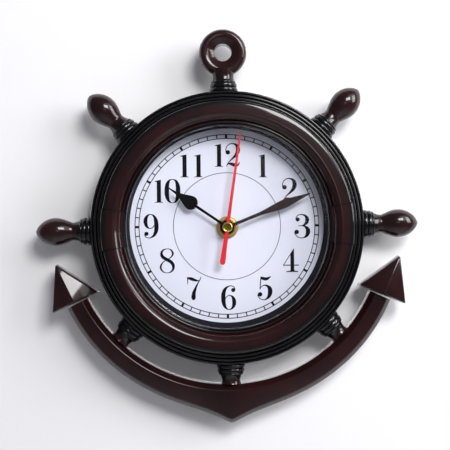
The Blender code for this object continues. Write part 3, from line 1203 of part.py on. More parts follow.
def make_cell_and_contacts():
    left = CELL_NUB_END - CELL_NUB_LENGTH - CELL_LENGTH
    outline = [(0, CELL_LENGTH + CELL_NUB_LENGTH), (CELL_NUB_RADIUS, CELL_LENGTH + CELL_NUB_LENGTH)]
    outline += [(CELL_NUB_RADIUS, CELL_LENGTH), (CELL_RADIUS, CELL_LENGTH), (CELL_RADIUS, 0), (0, 0)]
    cell = turned("battery", outline, "cell_jacket", steps=24)
    cell.location = (left, CELL_Y, CELL_DEPTH)
    cell.rotation_euler = (0, math.pi / 2, 0)
    wall = CASE_SIDE / 2 - CASE_WALL - PART_PLAY
    for name, side in (("battery_contact_positive", 1), ("battery_contact_negative", -1)):
        face, back = side * (wall - CONTACT_THICKNESS), side * wall
        low, high = min(face, back), max(face, back)
        reach = CONTACT_WIDTH / 2
        strip = block(name, (low, CELL_Y - reach, floor_front + PART_PLAY),
                      (high, CELL_Y + reach, plate_back - 2 * TOUCH_GAP), "steel")
        end = CELL_NUB_END if side > 0 else -left
        dimple = rod(name + "_dimple", CONTACT_WIDTH / 4, end + PART_PLAY, wall - CONTACT_THICKNESS / 2)
        dimple.location = (0, CELL_Y, CELL_DEPTH)
        dimple.rotation_euler = (0, side * math.pi / 2, 0)
        join(strip, dimple)


make_collars()
make_bezel()
make_handles_and_stubs()
make_eye()
make_anchor_arms()
make_flukes()
make_dial_stack()
make_back_cover()
make_hands()
make_nut_and_washers()
make_train()
make_motion_work()
make_motor()
make_board()
make_movement_cases()
make_bush()
make_cell_and_contacts()
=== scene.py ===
import json
import math

import bmesh
import bpy
import numpy as np
from mathutils import Matrix, Vector


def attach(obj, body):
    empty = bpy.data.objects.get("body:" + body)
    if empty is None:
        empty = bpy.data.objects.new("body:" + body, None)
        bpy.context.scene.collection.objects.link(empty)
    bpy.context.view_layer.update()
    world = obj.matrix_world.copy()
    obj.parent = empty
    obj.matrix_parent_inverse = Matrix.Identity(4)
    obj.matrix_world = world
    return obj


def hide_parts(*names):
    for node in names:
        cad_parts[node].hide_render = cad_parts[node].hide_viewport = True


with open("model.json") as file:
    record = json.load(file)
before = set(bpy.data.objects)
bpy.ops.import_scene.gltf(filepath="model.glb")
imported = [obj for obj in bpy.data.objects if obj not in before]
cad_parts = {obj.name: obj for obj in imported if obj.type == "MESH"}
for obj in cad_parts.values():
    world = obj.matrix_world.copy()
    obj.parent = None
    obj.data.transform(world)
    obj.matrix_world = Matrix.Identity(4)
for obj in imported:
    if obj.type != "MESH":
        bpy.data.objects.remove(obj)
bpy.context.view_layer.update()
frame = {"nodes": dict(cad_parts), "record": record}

# Places are in millimetres seen from the front: x to the right, y up, d out from the wall.
# The dial's centre is x = y = 0; the frame's origin is where the wall screw sits above it.
millimetre = 0.001
hangHeight = 75.0
axisDepth = 14.0
caseBody = "case"
weldDistance = 0.000002
speckLength = 0.000001


def toWorld(points):
    # x stays, d becomes -Y, and y becomes Z below the hanging point
    p = np.asarray(points, float)
    return np.stack([p[:, 0], -p[:, 2], p[:, 1] - hangHeight], axis=1) * millimetre


def smoothShade(mesh, sharp=40):
    mesh.shade_smooth()
    mesh.set_sharp_from_angle(angle=math.radians(sharp))
    return mesh


def fullTurn(steps):
    return np.linspace(0, 2 * np.pi, steps, endpoint=False)


def atDepth(outline, depth):
    # flat points (x, y) as points (x, y, d)
    return np.column_stack([outline, np.full(len(outline), depth)])


def writeMesh(shape, mesh):
    shape.to_mesh(mesh)
    shape.free()
    return mesh


def gridFaces(rows, columns, closedRows=False):
    # a quad for each cell of the grid; its columns always close round, its rows where asked
    i, j = np.arange(rows if closedRows else rows - 1), np.arange(columns)
    i, j = [a.ravel() for a in np.meshgrid(i, j, indexing="ij")]
    nextI, nextJ = (i + 1) % rows, (j + 1) % columns
    return np.stack([i * columns + j, i * columns + nextJ, nextI * columns + nextJ, nextI * columns + j], axis=1)


def makeMesh(name, points, faces, sharp=40):
    # points in front coordinates; faces turn outwards if the volume they enclose comes out negative
    mesh = bpy.data.meshes.new(name)
    mesh.from_pydata(toWorld(points).tolist(), [], [list(map(int, f)) for f in faces])
    shape = bmesh.new()
    shape.from_mesh(mesh)
    bmesh.ops.remove_doubles(shape, verts=shape.verts, dist=weldDistance)
    bmesh.ops.dissolve_degenerate(shape, edges=shape.edges, dist=speckLength)
    if shape.calc_volume(signed=True) < 0:
        bmesh.ops.reverse_faces(shape, faces=shape.faces)
    return smoothShade(writeMesh(shape, mesh), sharp)


def newObject(name, data):
    made = bpy.data.objects.new(name, data)
    bpy.context.scene.collection.objects.link(made)
    return made


def addPiece(name, mesh, material, slotName, *nodes, body=caseBody):
    piece = newObject(name, mesh)
    mesh.materials.clear()
    mesh.materials.append(material)
    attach(piece, body)
    if nodes:
        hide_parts(*nodes)


def joinMeshes(name, meshes, sharp):
    # several finished meshes in one, each keeping its own faces
    shape = bmesh.new()
    for mesh in meshes:
        shape.from_mesh(mesh)
        bpy.data.meshes.remove(mesh)
    return smoothShade(writeMesh(shape, bpy.data.meshes.new(name)), sharp)


def faceOutwards(mesh):
    shape = bmesh.new()
    shape.from_mesh(mesh)
    bmesh.ops.recalc_face_normals(shape, faces=shape.faces)
    return writeMesh(shape, mesh)


def arcPoints(centre, radii, start, end, steps=12):
    # part of an ellipse: centre + radii * (cos, sin) of angles from start to end in degrees
    a = np.radians(np.linspace(start, end, steps + 1))
    return np.stack([centre[0] + radii[0] * np.cos(a), centre[1] + radii[1] * np.sin(a)], axis=1)


def circlePoints(centre, radius, count):
    # evenly spaced points of a whole circle, the last one a step before the first
    return arcPoints(centre, (radius, radius), 0, 360 - 360 / count, count - 1)


def smoothCurve(stations, steps=6):
    # a curve through the stations, with each stretch a cubic that leaves along its neighbours' line
    p = np.asarray(stations, float)
    before = np.vstack([2 * p[0] - p[1], p[:-1]])
    after = np.vstack([p[1:], 2 * p[-1] - p[-2]])
    slope = (after - before) / 2
    t = np.linspace(0, 1, steps, endpoint=False)[None, :, None]
    a, b, m, n = p[:-1, None], p[1:, None], slope[:-1, None], slope[1:, None]
    line = a * (2 * t**3 - 3 * t**2 + 1) + m * (t**3 - 2 * t**2 + t) + b * (3 * t**2 - 2 * t**3) + n * (t**3 - t**2)
    return np.vstack([line.reshape(-1, p.shape[1]), p[-1:]])


def spinFront(name, profile, steps, sharp, closed=True, centre=(0.0, 0.0)):
    # profile (radius, depth) turned about the dial's axis: x = r cos a, y = r sin a, d = depth
    r, d = np.asarray(profile, float).T
    a = fullTurn(steps)
    x = centre[0] + r[:, None] * np.cos(a)
    y = centre[1] + r[:, None] * np.sin(a)
    points = np.stack([x, y, np.broadcast_to(d[:, None], x.shape)], axis=2).reshape(-1, 3)
    return makeMesh(name, points, gridFaces(len(r), steps, closedRows=closed), sharp)


print("helpers ready")


def fill(tree, socket, item):
    # a value that comes from other nodes is linked to the socket, a plain one is written into it
    if isinstance(item, Value):
        tree.links.new(item.socket, socket)
    else:
        socket.default_value = item


# Shader maths: an expression on values adds its Math nodes
class Value:
    def __init__(self, tree, socket):
        self.tree, self.socket = tree, socket

    def math(self, operation, *others):
        node = self.tree.nodes.new("ShaderNodeMath")
        node.operation = operation
        for index, item in enumerate((self, *others)):
            fill(self.tree, node.inputs[index], item)
        return Value(self.tree, node.outputs[0])

    def __add__(self, other):
        return self.math("ADD", other)

    def __mul__(self, other):
        return self.math("MULTIPLY", other)

    def __sub__(self, other):
        return self.math("SUBTRACT", other)

    def between(self, low, high):
        # 0 below low, 1 above high, smooth between them
        node = self.tree.nodes.new("ShaderNodeMapRange")
        node.interpolation_type = "SMOOTHSTEP"
        for key, item in (("Value", self), ("From Min", low), ("From Max", high)):
            fill(self.tree, node.inputs[key], item)
        return Value(self.tree, node.outputs["Result"])


class Finish:
    # one material with a Principled shader, and short ways to add nodes to it
    def __init__(self, name, colour, roughness, metallic=0.0):
        self.material = bpy.data.materials.new(name)
        self.material.use_nodes = True
        self.tree = self.material.node_tree
        self.shader = self.tree.nodes["Principled BSDF"]
        self.set(Base_Color=(*colour, 1), Roughness=roughness, Metallic=metallic)

    def set(self, **sockets):
        for key, item in sockets.items():
            fill(self.tree, self.shader.inputs[key.replace("_", " ")], item)

    def node(self, kind, settings=None, **sockets):
        made = self.tree.nodes.new(kind)
        for key, item in (settings or {}).items():
            setattr(made, key, item)
        for key, item in sockets.items():
            fill(self.tree, made.inputs[key.replace("_", " ")], item)
        return made

    def place(self):
        return Value(self.tree, self.node("ShaderNodeTexCoord").outputs["Object"])

    def fromPivot(self):
        # distance from the hands' axis, in metres
        flat = self.node("ShaderNodeMapping", Vector=self.place(), Location=(0.0, 0.0, hangHeight * millimetre),
                         Scale=(1.0, 0.0, 1.0))
        length = self.node("ShaderNodeVectorMath", {"operation": "LENGTH"}, Vector=Value(self.tree, flat.outputs[0]))
        return Value(self.tree, length.outputs["Value"])

    def noise(self, scale, detail=4.0):
        made = self.node("ShaderNodeTexNoise", Vector=self.place(), Scale=scale, Detail=detail)
        return Value(self.tree, made.outputs["Fac"])

    def mixColour(self, factor, first, second):
        made = self.node("ShaderNodeMix", {"data_type": "RGBA"})
        fill(self.tree, made.inputs["Factor"], factor)
        for index, item in ((6, first), (7, second)):
            fill(self.tree, made.inputs[index], item if isinstance(item, Value) else (*item, 1))
        return Value(self.tree, made.outputs[2])

    def mixShaders(self, factor, first, second):
        # the surface is the first shader where the factor is 0 and the second where it is 1
        mix = self.node("ShaderNodeMixShader", Fac=factor)
        output = [n for n in self.tree.nodes if n.type == "OUTPUT_MATERIAL"][0]
        self.tree.links.new(first.outputs[0], mix.inputs[1])
        self.tree.links.new(second.outputs[0], mix.inputs[2])
        self.tree.links.new(mix.outputs[0], output.inputs["Surface"])
        return self.material

    def bump(self, height, strength, distance):
        made = self.node("ShaderNodeBump", Height=height, Strength=strength, Distance=distance)
        self.set(Normal=Value(self.tree, made.outputs["Normal"]))


def linear(red, green, blue):
    # a screen colour of 0 to 255 as the linear value a shader takes
    c = np.array([red, green, blue]) / 255
    return tuple(np.where(c <= 0.04045, c / 12.92, ((c + 0.055) / 1.055) ** 2.4).tolist())


print("making finishes")

finishValues = {
    "mahogany": linear(38, 14, 16),
    "mahoganyWorn": linear(28, 10, 12),
    # black painted over the brown: painted shade and dark reflection on the lip, rims and spokes' roots
    "paintedShadeBlack": linear(8, 7, 9),
    # millimetres from the dial's centre: brown starts, ends and starts again; outside the brown, black is painted as
    # shade and dark reflection
    "brownBands": (61.6, 62.6, 69.8, 73.4, 90.0, 93.5),
    "bandNoise": 90.0,
    "bandWander": 0.0015,
    "driftNoise": 45.0,
    "driftRange": (0.35, 0.65),
    "coatRoughness": 0.07,
    "coatIor": 1.42,
    "underNoise": 160.0,
    "underRoughness": 0.28,
    "underSpread": 0.08,
    "underSpecular": 0.08,
    "waveNoise": 140.0,
    "waveBump": (0.03, 0.0001),  # strength, and height in metres
    "paper": linear(236, 238, 249),
    "ink": linear(12, 12, 20),
    "handBlack": linear(8, 8, 10),
    "handBrown": linear(34, 20, 18),
    "handRed": linear(228, 22, 38),
    "brass": linear(214, 190, 118),
    "brassWorn": linear(188, 162, 92),
    "brassDark": linear(118, 104, 24),
    # millimetres from the pivot: the dark middle of the cap ends, and its bright rim starts
    "capDish": (2.0, 2.5),
    "mouldedTones": (70.0, 0.3, 0.7),  # scale of the noise, and the range in which it changes the tone
    "mouldedSpread": (0.15, 0.07),  # roughness that the grain adds, and what is taken off first
    "mouldedGrain": 0.00008,  # its height in metres
    "metalTones": (220.0, 0.4, 0.75),
    "metalNoise": 900.0,
    "metalSpread": (0.12, 0.06),
    "metalScratch": (1500.0, 0.1, 0.00003),  # scale of the noise, strength, and height in metres
}


def glossPlastic(name, withPaintedShade=True):
    # the brown drifts between two tones with slow noise, and black is painted over it by distance from the dial's
    # centre, with an uneven edge, as painted shade and dark reflection on the lip, the rims and the spokes' roots;
    # a satin layer lies under a clear one, over a faint slow waviness
    v = finishValues
    made = Finish(name, v["mahogany"], v["underRoughness"])
    drift = made.noise(v["driftNoise"], 3.0).between(*v["driftRange"])
    colour = made.mixColour(drift, v["mahogany"], v["mahoganyWorn"])
    if withPaintedShade:
        away = made.fromPivot() + (made.noise(v["bandNoise"], 2.0) - 0.5) * v["bandWander"]
        a, b, c, d, e, f = [edge * millimetre for edge in v["brownBands"]]
        mask = away.between(a, b) - away.between(c, d) + away.between(e, f)
        colour = made.mixColour(mask, v["paintedShadeBlack"], colour)
    made.set(Base_Color=colour, Roughness=made.noise(v["underNoise"], 2.0) * v["underSpread"] + v["underRoughness"],
             Specular_IOR_Level=v["underSpecular"], Coat_Weight=1.0, Coat_IOR=v["coatIor"],
             Coat_Roughness=v["coatRoughness"])
    made.bump(made.noise(v["waveNoise"], 2.0), *v["waveBump"])
    return made.material


def moulded(name, colour, roughness, grain=2600.0, strength=0.35, drift=0.86, specular=0.5):
    # plain plastic, rubber, paint or card with a fine even grain; the tone drifts to a share of the colour
    scale, low, high = finishValues["mouldedTones"]
    spread, drop = finishValues["mouldedSpread"]
    made = Finish(name, colour, roughness)
    grainHeight = made.noise(grain, 3.0)
    tone = made.mixColour(made.noise(scale).between(low, high), colour, tuple(drift * c for c in colour))
    made.set(Base_Color=tone, Roughness=grainHeight * spread + (roughness - drop), Specular_IOR_Level=specular)
    made.bump(grainHeight, strength, finishValues["mouldedGrain"])
    return made.material


def metal(name, colour, second, roughness, dished=None):
    # metal whose colour drifts a little towards a second one; a dished cap has a darker middle about the pivot
    v = finishValues
    toneScale, low, high = v["metalTones"]
    spread, drop = v["metalSpread"]
    scratchScale, strength, height = v["metalScratch"]
    made = Finish(name, colour, roughness, metallic=1.0)
    tone = made.mixColour(made.noise(toneScale).between(low, high), colour, second)
    if dished:
        dark, bright = [edge * millimetre for edge in v["capDish"]]
        tone = made.mixColour(made.fromPivot().between(dark, bright), dished, tone)
    made.set(Base_Color=tone, Roughness=made.noise(v["metalNoise"], 2.0) * spread + (roughness - drop))
    made.bump(made.noise(scratchScale, 2.0), strength, height)
    return made.material


v = finishValues
# the first has black painted shade and dark reflection on the lip, rims and spokes' roots; the second, for the arms
# and flukes, has none
mahogany = glossPlastic("mahoganyPlastic")
mahoganyPlain = glossPlastic("mahoganyWithoutPaintedShade", withPaintedShade=False)
spacerBlack = moulded("spacerMattBlack", linear(7, 6, 11), 0.7, 2200.0, 0.15, specular=0.08)
blackCase = moulded("blackCasePlastic", linear(28, 28, 30), 0.45)
nylon = moulded("naturalNylon", linear(222, 220, 210), 0.42)
rubber = moulded("softRubber", linear(24, 24, 24), 0.75, 900.0, 0.5)
board = moulded("boardLacquer", linear(28, 96, 50), 0.3, 500.0, 0.2)
jacket = moulded("cellJacket", linear(44, 58, 96), 0.3, 300.0, 0.1)
steel = metal("plainSteel", linear(180, 182, 186), linear(140, 142, 146), 0.3)
copper = metal("windingCopper", linear(190, 110, 70), linear(150, 80, 50), 0.35)
brass = metal("turnedBrass", v["brass"], v["brassWorn"], 0.36)
brassCap = metal("brassCap", v["brass"], v["brassWorn"], 0.3, v["brassDark"])
handBlack = moulded("handBlackPaint", v["handBlack"], 0.38, 1800.0, 0.1, specular=0.12)
handBrown = moulded("handBrownPaint", v["handBrown"], 0.40, 1800.0, 0.1, specular=0.12)
handRed = moulded("handRedPaint", v["handRed"], 0.42, 1800.0, 0.1)
paper = moulded("dialCard", v["paper"], 0.55, 3200.0, 0.08, 0.985)
ink = moulded("dialInk", v["ink"], 0.5, 2600.0, 0.1, specular=0.1)

lensValues = {"tint": (0.985, 0.99, 1, 1), "roughness": 0.03, "ior": 1.42, "mirrorShare": 0.15}


def makeLensFinish():
    # a clear sheet: light goes straight through, with a share of a glass mirror that grows at grazing angles
    v = lensValues
    made = Finish("clearLens", (1, 1, 1), v["roughness"])
    made.tree.nodes.remove(made.shader)
    clear = made.node("ShaderNodeBsdfTransparent", Color=v["tint"])
    gloss = made.node("ShaderNodeBsdfGlossy", Color=(1, 1, 1, 1), Roughness=v["roughness"])
    edge = Value(made.tree, made.node("ShaderNodeFresnel", IOR=v["ior"]).outputs["Fac"])
    return made.mixShaders(edge * v["mirrorShare"], clear, gloss)


cadFinishes = {
    "black_plastic": blackCase,
    "steel": steel,
    "copper": copper,
    "rubber": rubber,
    "nylon": nylon,
    "board_green": board,
    "cell_jacket": jacket,
    "mahogany": mahogany,
    "dial_white": paper,
    "clear": makeLensFinish(),
    "hand_black": handBlack,
    "hand_red": handRed,
    "brass": brass,
}
for entry in frame["record"]["subparts"]:
    node = frame["nodes"][entry["node"]]
    for materialSlot in node.material_slots:
        materialSlot.material = cadFinishes[entry["material_slot"]]


print("making the case")


def addCasePiece(name, mesh, *nodes, material=mahogany):
    addPiece(name, mesh, material, "mahogany", *nodes)


bezelValues = {
    "torusCentre": (67.6, 35.0),
    "torusRadii": (4.2, 4.8),
    "torusPower": 1.6,
    "shoulderCentre": (67.6, 37.5),
    "shoulderRadii": (6.7, 2.3),
    "shoulderPower": 5.0,
    "shoulderLean": 0.07,
    "torusStart": 172,
    "torusSteps": 30,
    "shoulderSteps": 46,
    "corner": (0.14, -0.7),
    "wallFoot": (76.1, 28.3),
    "rimBeads": ((77.0, 27.15, 0.7, 0.3), (79.3, 25.6, 0.8, 0.4), (81.7, 23.55, 0.7, 0.38)),
    "rimGroove": (0.12, 0.55),
    "rimArc": (172, 8),
    "lipSteps": 4,
    "sideSteps": 5,
    # points of the section as (radius, depth)
    "lip": ((59.75, 33.1), (60.15, 34.2), (60.4, 34.78), (60.75, 34.98), (61.08, 34.75), (61.25, 34.3)),
    "lipBead": ((62.25, 34.05), (0.9, 0.75), 165, 12),  # centre, radii, first and last angle
    "side": ((82.45, 22.9), (82.75, 21.5), (83.3, 18.6), (83.8, 15.5), (83.9, 12.5), (83.7, 7.0), (83.2, 0.6)),
    "back": ((82.9, 0.0), (80.8, 0.0), (80.8, 14.0), (78.0, 21.6), (73.8, 25.2), (72.1, 35.1), (66.3, 35.1),
             (66.3, 17.8), (64.3, 17.8), (64.3, 32.3), (60.2, 32.3), (59.8, 32.6)),
    "steps": 320,
    "sharp": 50,
}


def superQuarter(centre, radii, power, start, end, count):
    # points of |x/a|^p + |y/b|^p = 1 from one angle to another
    turn = np.radians(np.linspace(start, end, count))
    unit = np.stack([np.cos(turn), np.sin(turn)], axis=1)
    return np.asarray(centre) + np.sign(unit) * np.abs(unit) ** (2 / power) * radii


def torusLine(offset, start):
    # a steep inner quarter up to a tight crest, a wide low quarter that leans outwards, then a corner
    v = bezelValues
    crest, shoulder = np.add(v["torusRadii"], offset), np.add(v["shoulderRadii"], offset)
    inner = superQuarter(v["torusCentre"], crest, v["torusPower"], start, 90, v["torusSteps"])
    outer = superQuarter(v["shoulderCentre"], shoulder, v["shoulderPower"], 90, 0, v["shoulderSteps"])
    outer[:, 1] -= v["shoulderLean"] * (outer[:, 0] - v["shoulderCentre"][0])
    return np.vstack([inner, outer[1:], outer[-1:] + v["corner"]])


def bezelProfile():
    # lip, small bead, the big moulding with its wall, three flat rim beads, round side, then the plain hollow back
    v = bezelValues
    inset, drop = v["rimGroove"]
    front = [smoothCurve(v["lip"], v["lipSteps"]), arcPoints(*v["lipBead"]), torusLine(0.0, v["torusStart"]),
             [v["wallFoot"]]]
    for r, d, half, rise in v["rimBeads"]:
        front += [[(r - half - inset, d - drop)], arcPoints((r, d), (half, rise), *v["rimArc"])]
    return np.vstack([*front, smoothCurve(v["side"], v["sideSteps"]), v["back"]])


bezelMesh = spinFront("bezelRing", bezelProfile(), bezelValues["steps"], bezelValues["sharp"])
addCasePiece("bezelRing", bezelMesh, "bezel_ring")

spacerValues = {
    "footRadius": 58.65,
    "footPlace": (-0.3, 1.2),  # the dial sits a little high and left in the bezel
    "footDepth": 20.4,
    "topRadius": 59.8,
    "topDepth": 31.0,
    "outer": 62.8,
    "steps": 256,
}


def makeSpacer():
    # rings of radius r about (x, y): the wall runs from the foot, off centre, to the lip, then round the back
    v = spacerValues
    x, y = v["footPlace"]
    rings = [(v["footRadius"], v["footDepth"], x, y), (v["topRadius"], v["topDepth"], 0, 0),
             (v["outer"], v["topDepth"], 0, 0), (v["outer"], v["footDepth"], 0, 0)]
    a = fullTurn(v["steps"])
    points = [np.stack([cx + r * np.cos(a), cy + r * np.sin(a), np.full_like(a, d)], axis=1)
              for r, d, cx, cy in rings]
    return makeMesh("spacerRing", np.vstack(points), gridFaces(len(rings), v["steps"], closedRows=True))


addCasePiece("spacerRing", makeSpacer(), "dial_spacer_ring", material=spacerBlack)

collarValues = {
    "halfAngle": 9.6,
    "proud": 0.45,
    "thickness": 0.95,
    "innerLine": ((60.15, 34.3), (61.4, 34.9), (62.6, 35.3)),
    "innerSteps": 4,
    "torusStart": 168,
    "outerFoot": (76.0, 28.3),
    # a thin black strip at each end of a collar is painted shade of the step and gap at its seam: half its width in
    # degrees, and how far it stands out
    "seamShadeHalfAngle": 0.2,
    "seamShadeProud": 0.5,
    "rows": 25,
    "sharp": 50,
}


def collarLine(offset):
    # over the moulding and down its wall, moved outwards by the offset
    v = collarValues
    over = torusLine(offset, v["torusStart"])
    inner = smoothCurve([*[(r, d + offset) for r, d in v["innerLine"]], over[0]], v["innerSteps"])
    return np.vstack([inner[:-1], over, [np.add(v["outerFoot"], offset / 2)]])


def makeCollar(name, middle, halfAngle, proud):
    # the line at its outer height and its back, swept round the dial through a part of a turn
    v = collarValues
    top, back = collarLine(proud), collarLine(proud - v["thickness"])[::-1]
    section = np.vstack([top, back])
    turns = np.radians(middle + np.linspace(-halfAngle, halfAngle, v["rows"]))
    r, d = section.T
    points = np.stack([np.outer(np.cos(turns), r), np.outer(np.sin(turns), r), np.tile(d, (len(turns), 1))], axis=2)
    n = len(section)
    faces = gridFaces(len(turns), n, closedRows=False).tolist()
    half = len(top)
    for row in (0, len(turns) - 1):
        start = row * n
        for k in range(half - 1):
            faces.append([start + k, start + k + 1, start + n - 2 - k, start + n - 1 - k])
    return faceOutwards(makeMesh(name, points.reshape(-1, 3), faces, v["sharp"]))


for side, middle in (("right", 0), ("left", 180)):
    v, name = collarValues, side + "Collar"
    addCasePiece(name, makeCollar(name, middle, v["halfAngle"], v["proud"]), side + "_collar")
    # a thin matt black strip at each end of the collar, standing a little proud of it: painted shade of the step and
    # gap at the seam
    for end, sign in (("SeamShadeLow", -1), ("SeamShadeHigh", 1)):
        seamShadeStrip = makeCollar(name + end, middle + sign * v["halfAngle"], v["seamShadeHalfAngle"], v["seamShadeProud"])
        addCasePiece(name + end, seamShadeStrip, material=spacerBlack)


print("making the turned pieces")

# distances along each spoke are from the dial's centre
spokeValues = {
    "seat": 82.7,
    "seatRadius": 7.9,
    "spigot": 3.5,
    "spigotEnd": 79.4,
    "beads": ((83.9, 1.2, 8.05, 0.65), (86.6, 1.3, 7.65, 0.6), (88.6, 0.6, 7.2, 0.4)),
    # (distance, radius) of the falls from the last bead to each neck
    "handleFall": ((89.35, 6.95), (90.3, 6.5), (91.8, 5.85), (93.8, 5.45)),
    "stubFall": ((89.35, 6.9), (90.4, 6.2), (92.4, 5.6), (94.0, 5.75), (94.9, 6.0)),
    "eyeFall": ((89.35, 7.0), (90.3, 6.6), (92.3, 6.4), (94.0, 6.6), (97.0, 7.0)),
    "knob": (104.5, 8.6),
    "tip": 116.6,
    "knobRisePower": 0.72,
    "knobTipPower": 1.3,
    "stubPeg": (3.4, 2.6),
    "fallSteps": 5,
    "riseSteps": 22,
    "tipSteps": 26,
    "steps": 72,
}


def spinSpoke(name, profile, degrees):
    # profile (distance from the dial's centre, radius) turned about a line that leaves the centre at this angle
    h, r = np.asarray(profile, float).T
    a = fullTurn(spokeValues["steps"])
    phi = math.radians(degrees)
    side = r[:, None] * np.cos(a)
    x = h[:, None] * math.cos(phi) - side * math.sin(phi)
    y = h[:, None] * math.sin(phi) + side * math.cos(phi)
    d = axisDepth + r[:, None] * np.sin(a)
    points = np.stack([x, y, d], axis=2).reshape(-1, 3)
    return makeMesh(name, points, gridFaces(len(h), spokeValues["steps"]))


def rootLine():
    # spigot, then three round beads with fine grooves between them: each bead is half an ellipse
    v = spokeValues
    end, seat, spigot = v["spigotEnd"], v["seat"], v["spigot"]
    line = [[(end, 0), (end, spigot), (seat, spigot), (seat, v["seatRadius"])]]
    for middle, half, foot, rise in v["beads"]:
        line.append(arcPoints((middle, foot), (half, rise), 180, 0))
    return np.vstack(line)


def handleLine():
    # waist: a cosine ease of a power of the way from neck to knob; tip: R cos(a)^p over an ellipse's half
    v = spokeValues
    neckAt, neck = v["handleFall"][-1]
    knobAt, knob = v["knob"]
    along = np.linspace(0, 1, v["riseSteps"])[1:]
    ease = (1 - np.cos(np.pi * along ** v["knobRisePower"])) / 2
    rise = np.stack([neckAt + along * (knobAt - neckAt), neck + (knob - neck) * ease], axis=1)
    a = np.linspace(0, np.pi / 2, v["tipSteps"])[1:]
    end = np.stack([knobAt + (v["tip"] - knobAt) * np.sin(a), knob * np.cos(a) ** v["knobTipPower"]], axis=1)
    end[-1, 1] = 0
    return np.vstack([rootLine(), smoothCurve(v["handleFall"], v["fallSteps"]), rise, end])


def stubLine():
    # the neck widens again to the anchor, with a peg into it
    v = spokeValues
    endAt = v["stubFall"][-1][0]
    length, radius = v["stubPeg"]
    peg = [(endAt, radius), (endAt + length, radius), (endAt + length, 0)]
    return np.vstack([rootLine(), smoothCurve(v["stubFall"]), peg])


for name, line, degrees, node in (
    ("handleRight", handleLine(), 0, "handle_right"),
    ("handleUpperRight", handleLine(), 45, "handle_upper_right"),
    ("handleUpperLeft", handleLine(), 135, "handle_upper_left"),
    ("handleLeft", handleLine(), 180, "handle_left"),
    ("stubLowerLeft", stubLine(), 225, "stub_lower_left"),
    ("stubBottom", stubLine(), 270, "stub_bottom"),
    ("stubLowerRight", stubLine(), 315, "stub_lower_right"),
):
    addCasePiece(name, spinSpoke(name, line, degrees), node)

eyeValues = {
    "centre": (0.0, 107.0),
    "radius": 14.6,
    "crest": 11.6,
    "step": 8.8,
    "hole": 5.37,
    "halfThickness": 4.8,
    "stepDepth": 0.7,
    "slopeDepth": 1.8,
    "beadEnd": -34,
    "beadSteps": 20,
    "beadStart": ((0.55, 0.22), (1.0, 0.05)),
    "backChamfer": 1.6,
    "holeChamfer": 0.3,
    "coneEdge": (0.25, 0.2),
    "stepEdge": (0.1, 0.05, 0.15),
    "steps": 128,
    "sharp": 35,
}


def eyeProfile():
    # a ring whose front is a round bead outside and a shallow cone inside, about its own middle plane
    v = eyeValues
    radius, hole, step = v["radius"], v["hole"], v["step"]
    front, back = axisDepth + v["halfThickness"], axisDepth - v["halfThickness"]
    floor = front - v["stepDepth"]
    cone = floor - v["slopeDepth"]
    (stepAway, stepDrop), (crestAway, crestDrop) = v["beadStart"]
    widen, coneDrop = v["coneEdge"]
    half, floorDrop, floorRise = v["stepEdge"]
    beadRadii = (radius - v["crest"], v["halfThickness"])
    bead = arcPoints((v["crest"], axisDepth), beadRadii, 90, v["beadEnd"], v["beadSteps"])
    return np.vstack([
        [(step + stepAway, front - stepDrop), (v["crest"] - crestAway, front - crestDrop)], bead,
        [(radius - v["backChamfer"], back), (hole + v["holeChamfer"], back), (hole, back + v["holeChamfer"])],
        [(hole, cone - coneDrop), (hole + widen, cone)],
        [(step - half, floor - floorDrop), (step + half, floor + floorRise)],
    ])


def unite(name, first, second):
    # two closed meshes made one body
    pieces = [newObject(name + str(k), mesh) for k, mesh in enumerate((first, second))]
    modifier = pieces[0].modifiers.new("union", "BOOLEAN")
    modifier.operation = "UNION"
    modifier.object = pieces[1]
    graph = bpy.context.evaluated_depsgraph_get()
    mesh = bpy.data.meshes.new_from_object(pieces[0].evaluated_get(graph))
    for piece in pieces:
        bpy.data.objects.remove(piece)
    return smoothShade(mesh)


eyeRing = spinFront("eyeRing", eyeProfile(), eyeValues["steps"], eyeValues["sharp"], centre=eyeValues["centre"])
neckEnd = (spokeValues["eyeFall"][-1][0], 0)
eyeNeckLine = np.vstack([rootLine(), smoothCurve(spokeValues["eyeFall"]), [neckEnd]])
eyeMesh = unite("hangingEye", eyeRing, spinSpoke("eyeNeck", eyeNeckLine, 90))
addCasePiece("hangingEye", eyeMesh, "hanging_eye")

print("making the anchor")

armValues = {
    "inner": 95.2,
    "outer": 109.0,
    "swell": 1.5,
    "crownRise": 8.2,
    "crownDecay": 6.5,
    "crownRounding": 1.1,
    "spread": 64.58,
    "back": 8.0,
    "wallDepth": 17.2,
    "stepInset": 1.8,
    "stepDepth": 18.8,
    "ridgeInset": 3.2,
    "ridgeDepth": 20.0,
    "chamferWidth": 3.0,
    "chamferTop": 18.2,
    "chamferFoot": 14.5,
    "rounding": (0.4, 0.35, 0.4, 0.45, 0.6, 0.5, 0.4),
    "stations": 181,
    "stationPower": 1.35,
    "roundingSteps": 4,
    "sharp": 30,
}


def roundedSections(corners, roundings, steps):
    # each corner of a stack of closed sections becomes a quadratic curve between points on its two sides
    before, after = np.roll(corners, 1, axis=1), np.roll(corners, -1, axis=1)
    size = np.asarray(roundings)[None, :, None]
    start = corners + (before - corners) / np.linalg.norm(before - corners, axis=2, keepdims=True) * size
    end = corners + (after - corners) / np.linalg.norm(after - corners, axis=2, keepdims=True) * size
    t = np.linspace(0, 1, steps)[:, None]
    curve = start[:, :, None] * (1 - t) ** 2 + corners[:, :, None] * 2 * t * (1 - t) + end[:, :, None] * t**2
    return curve.reshape(len(corners), -1, 2)


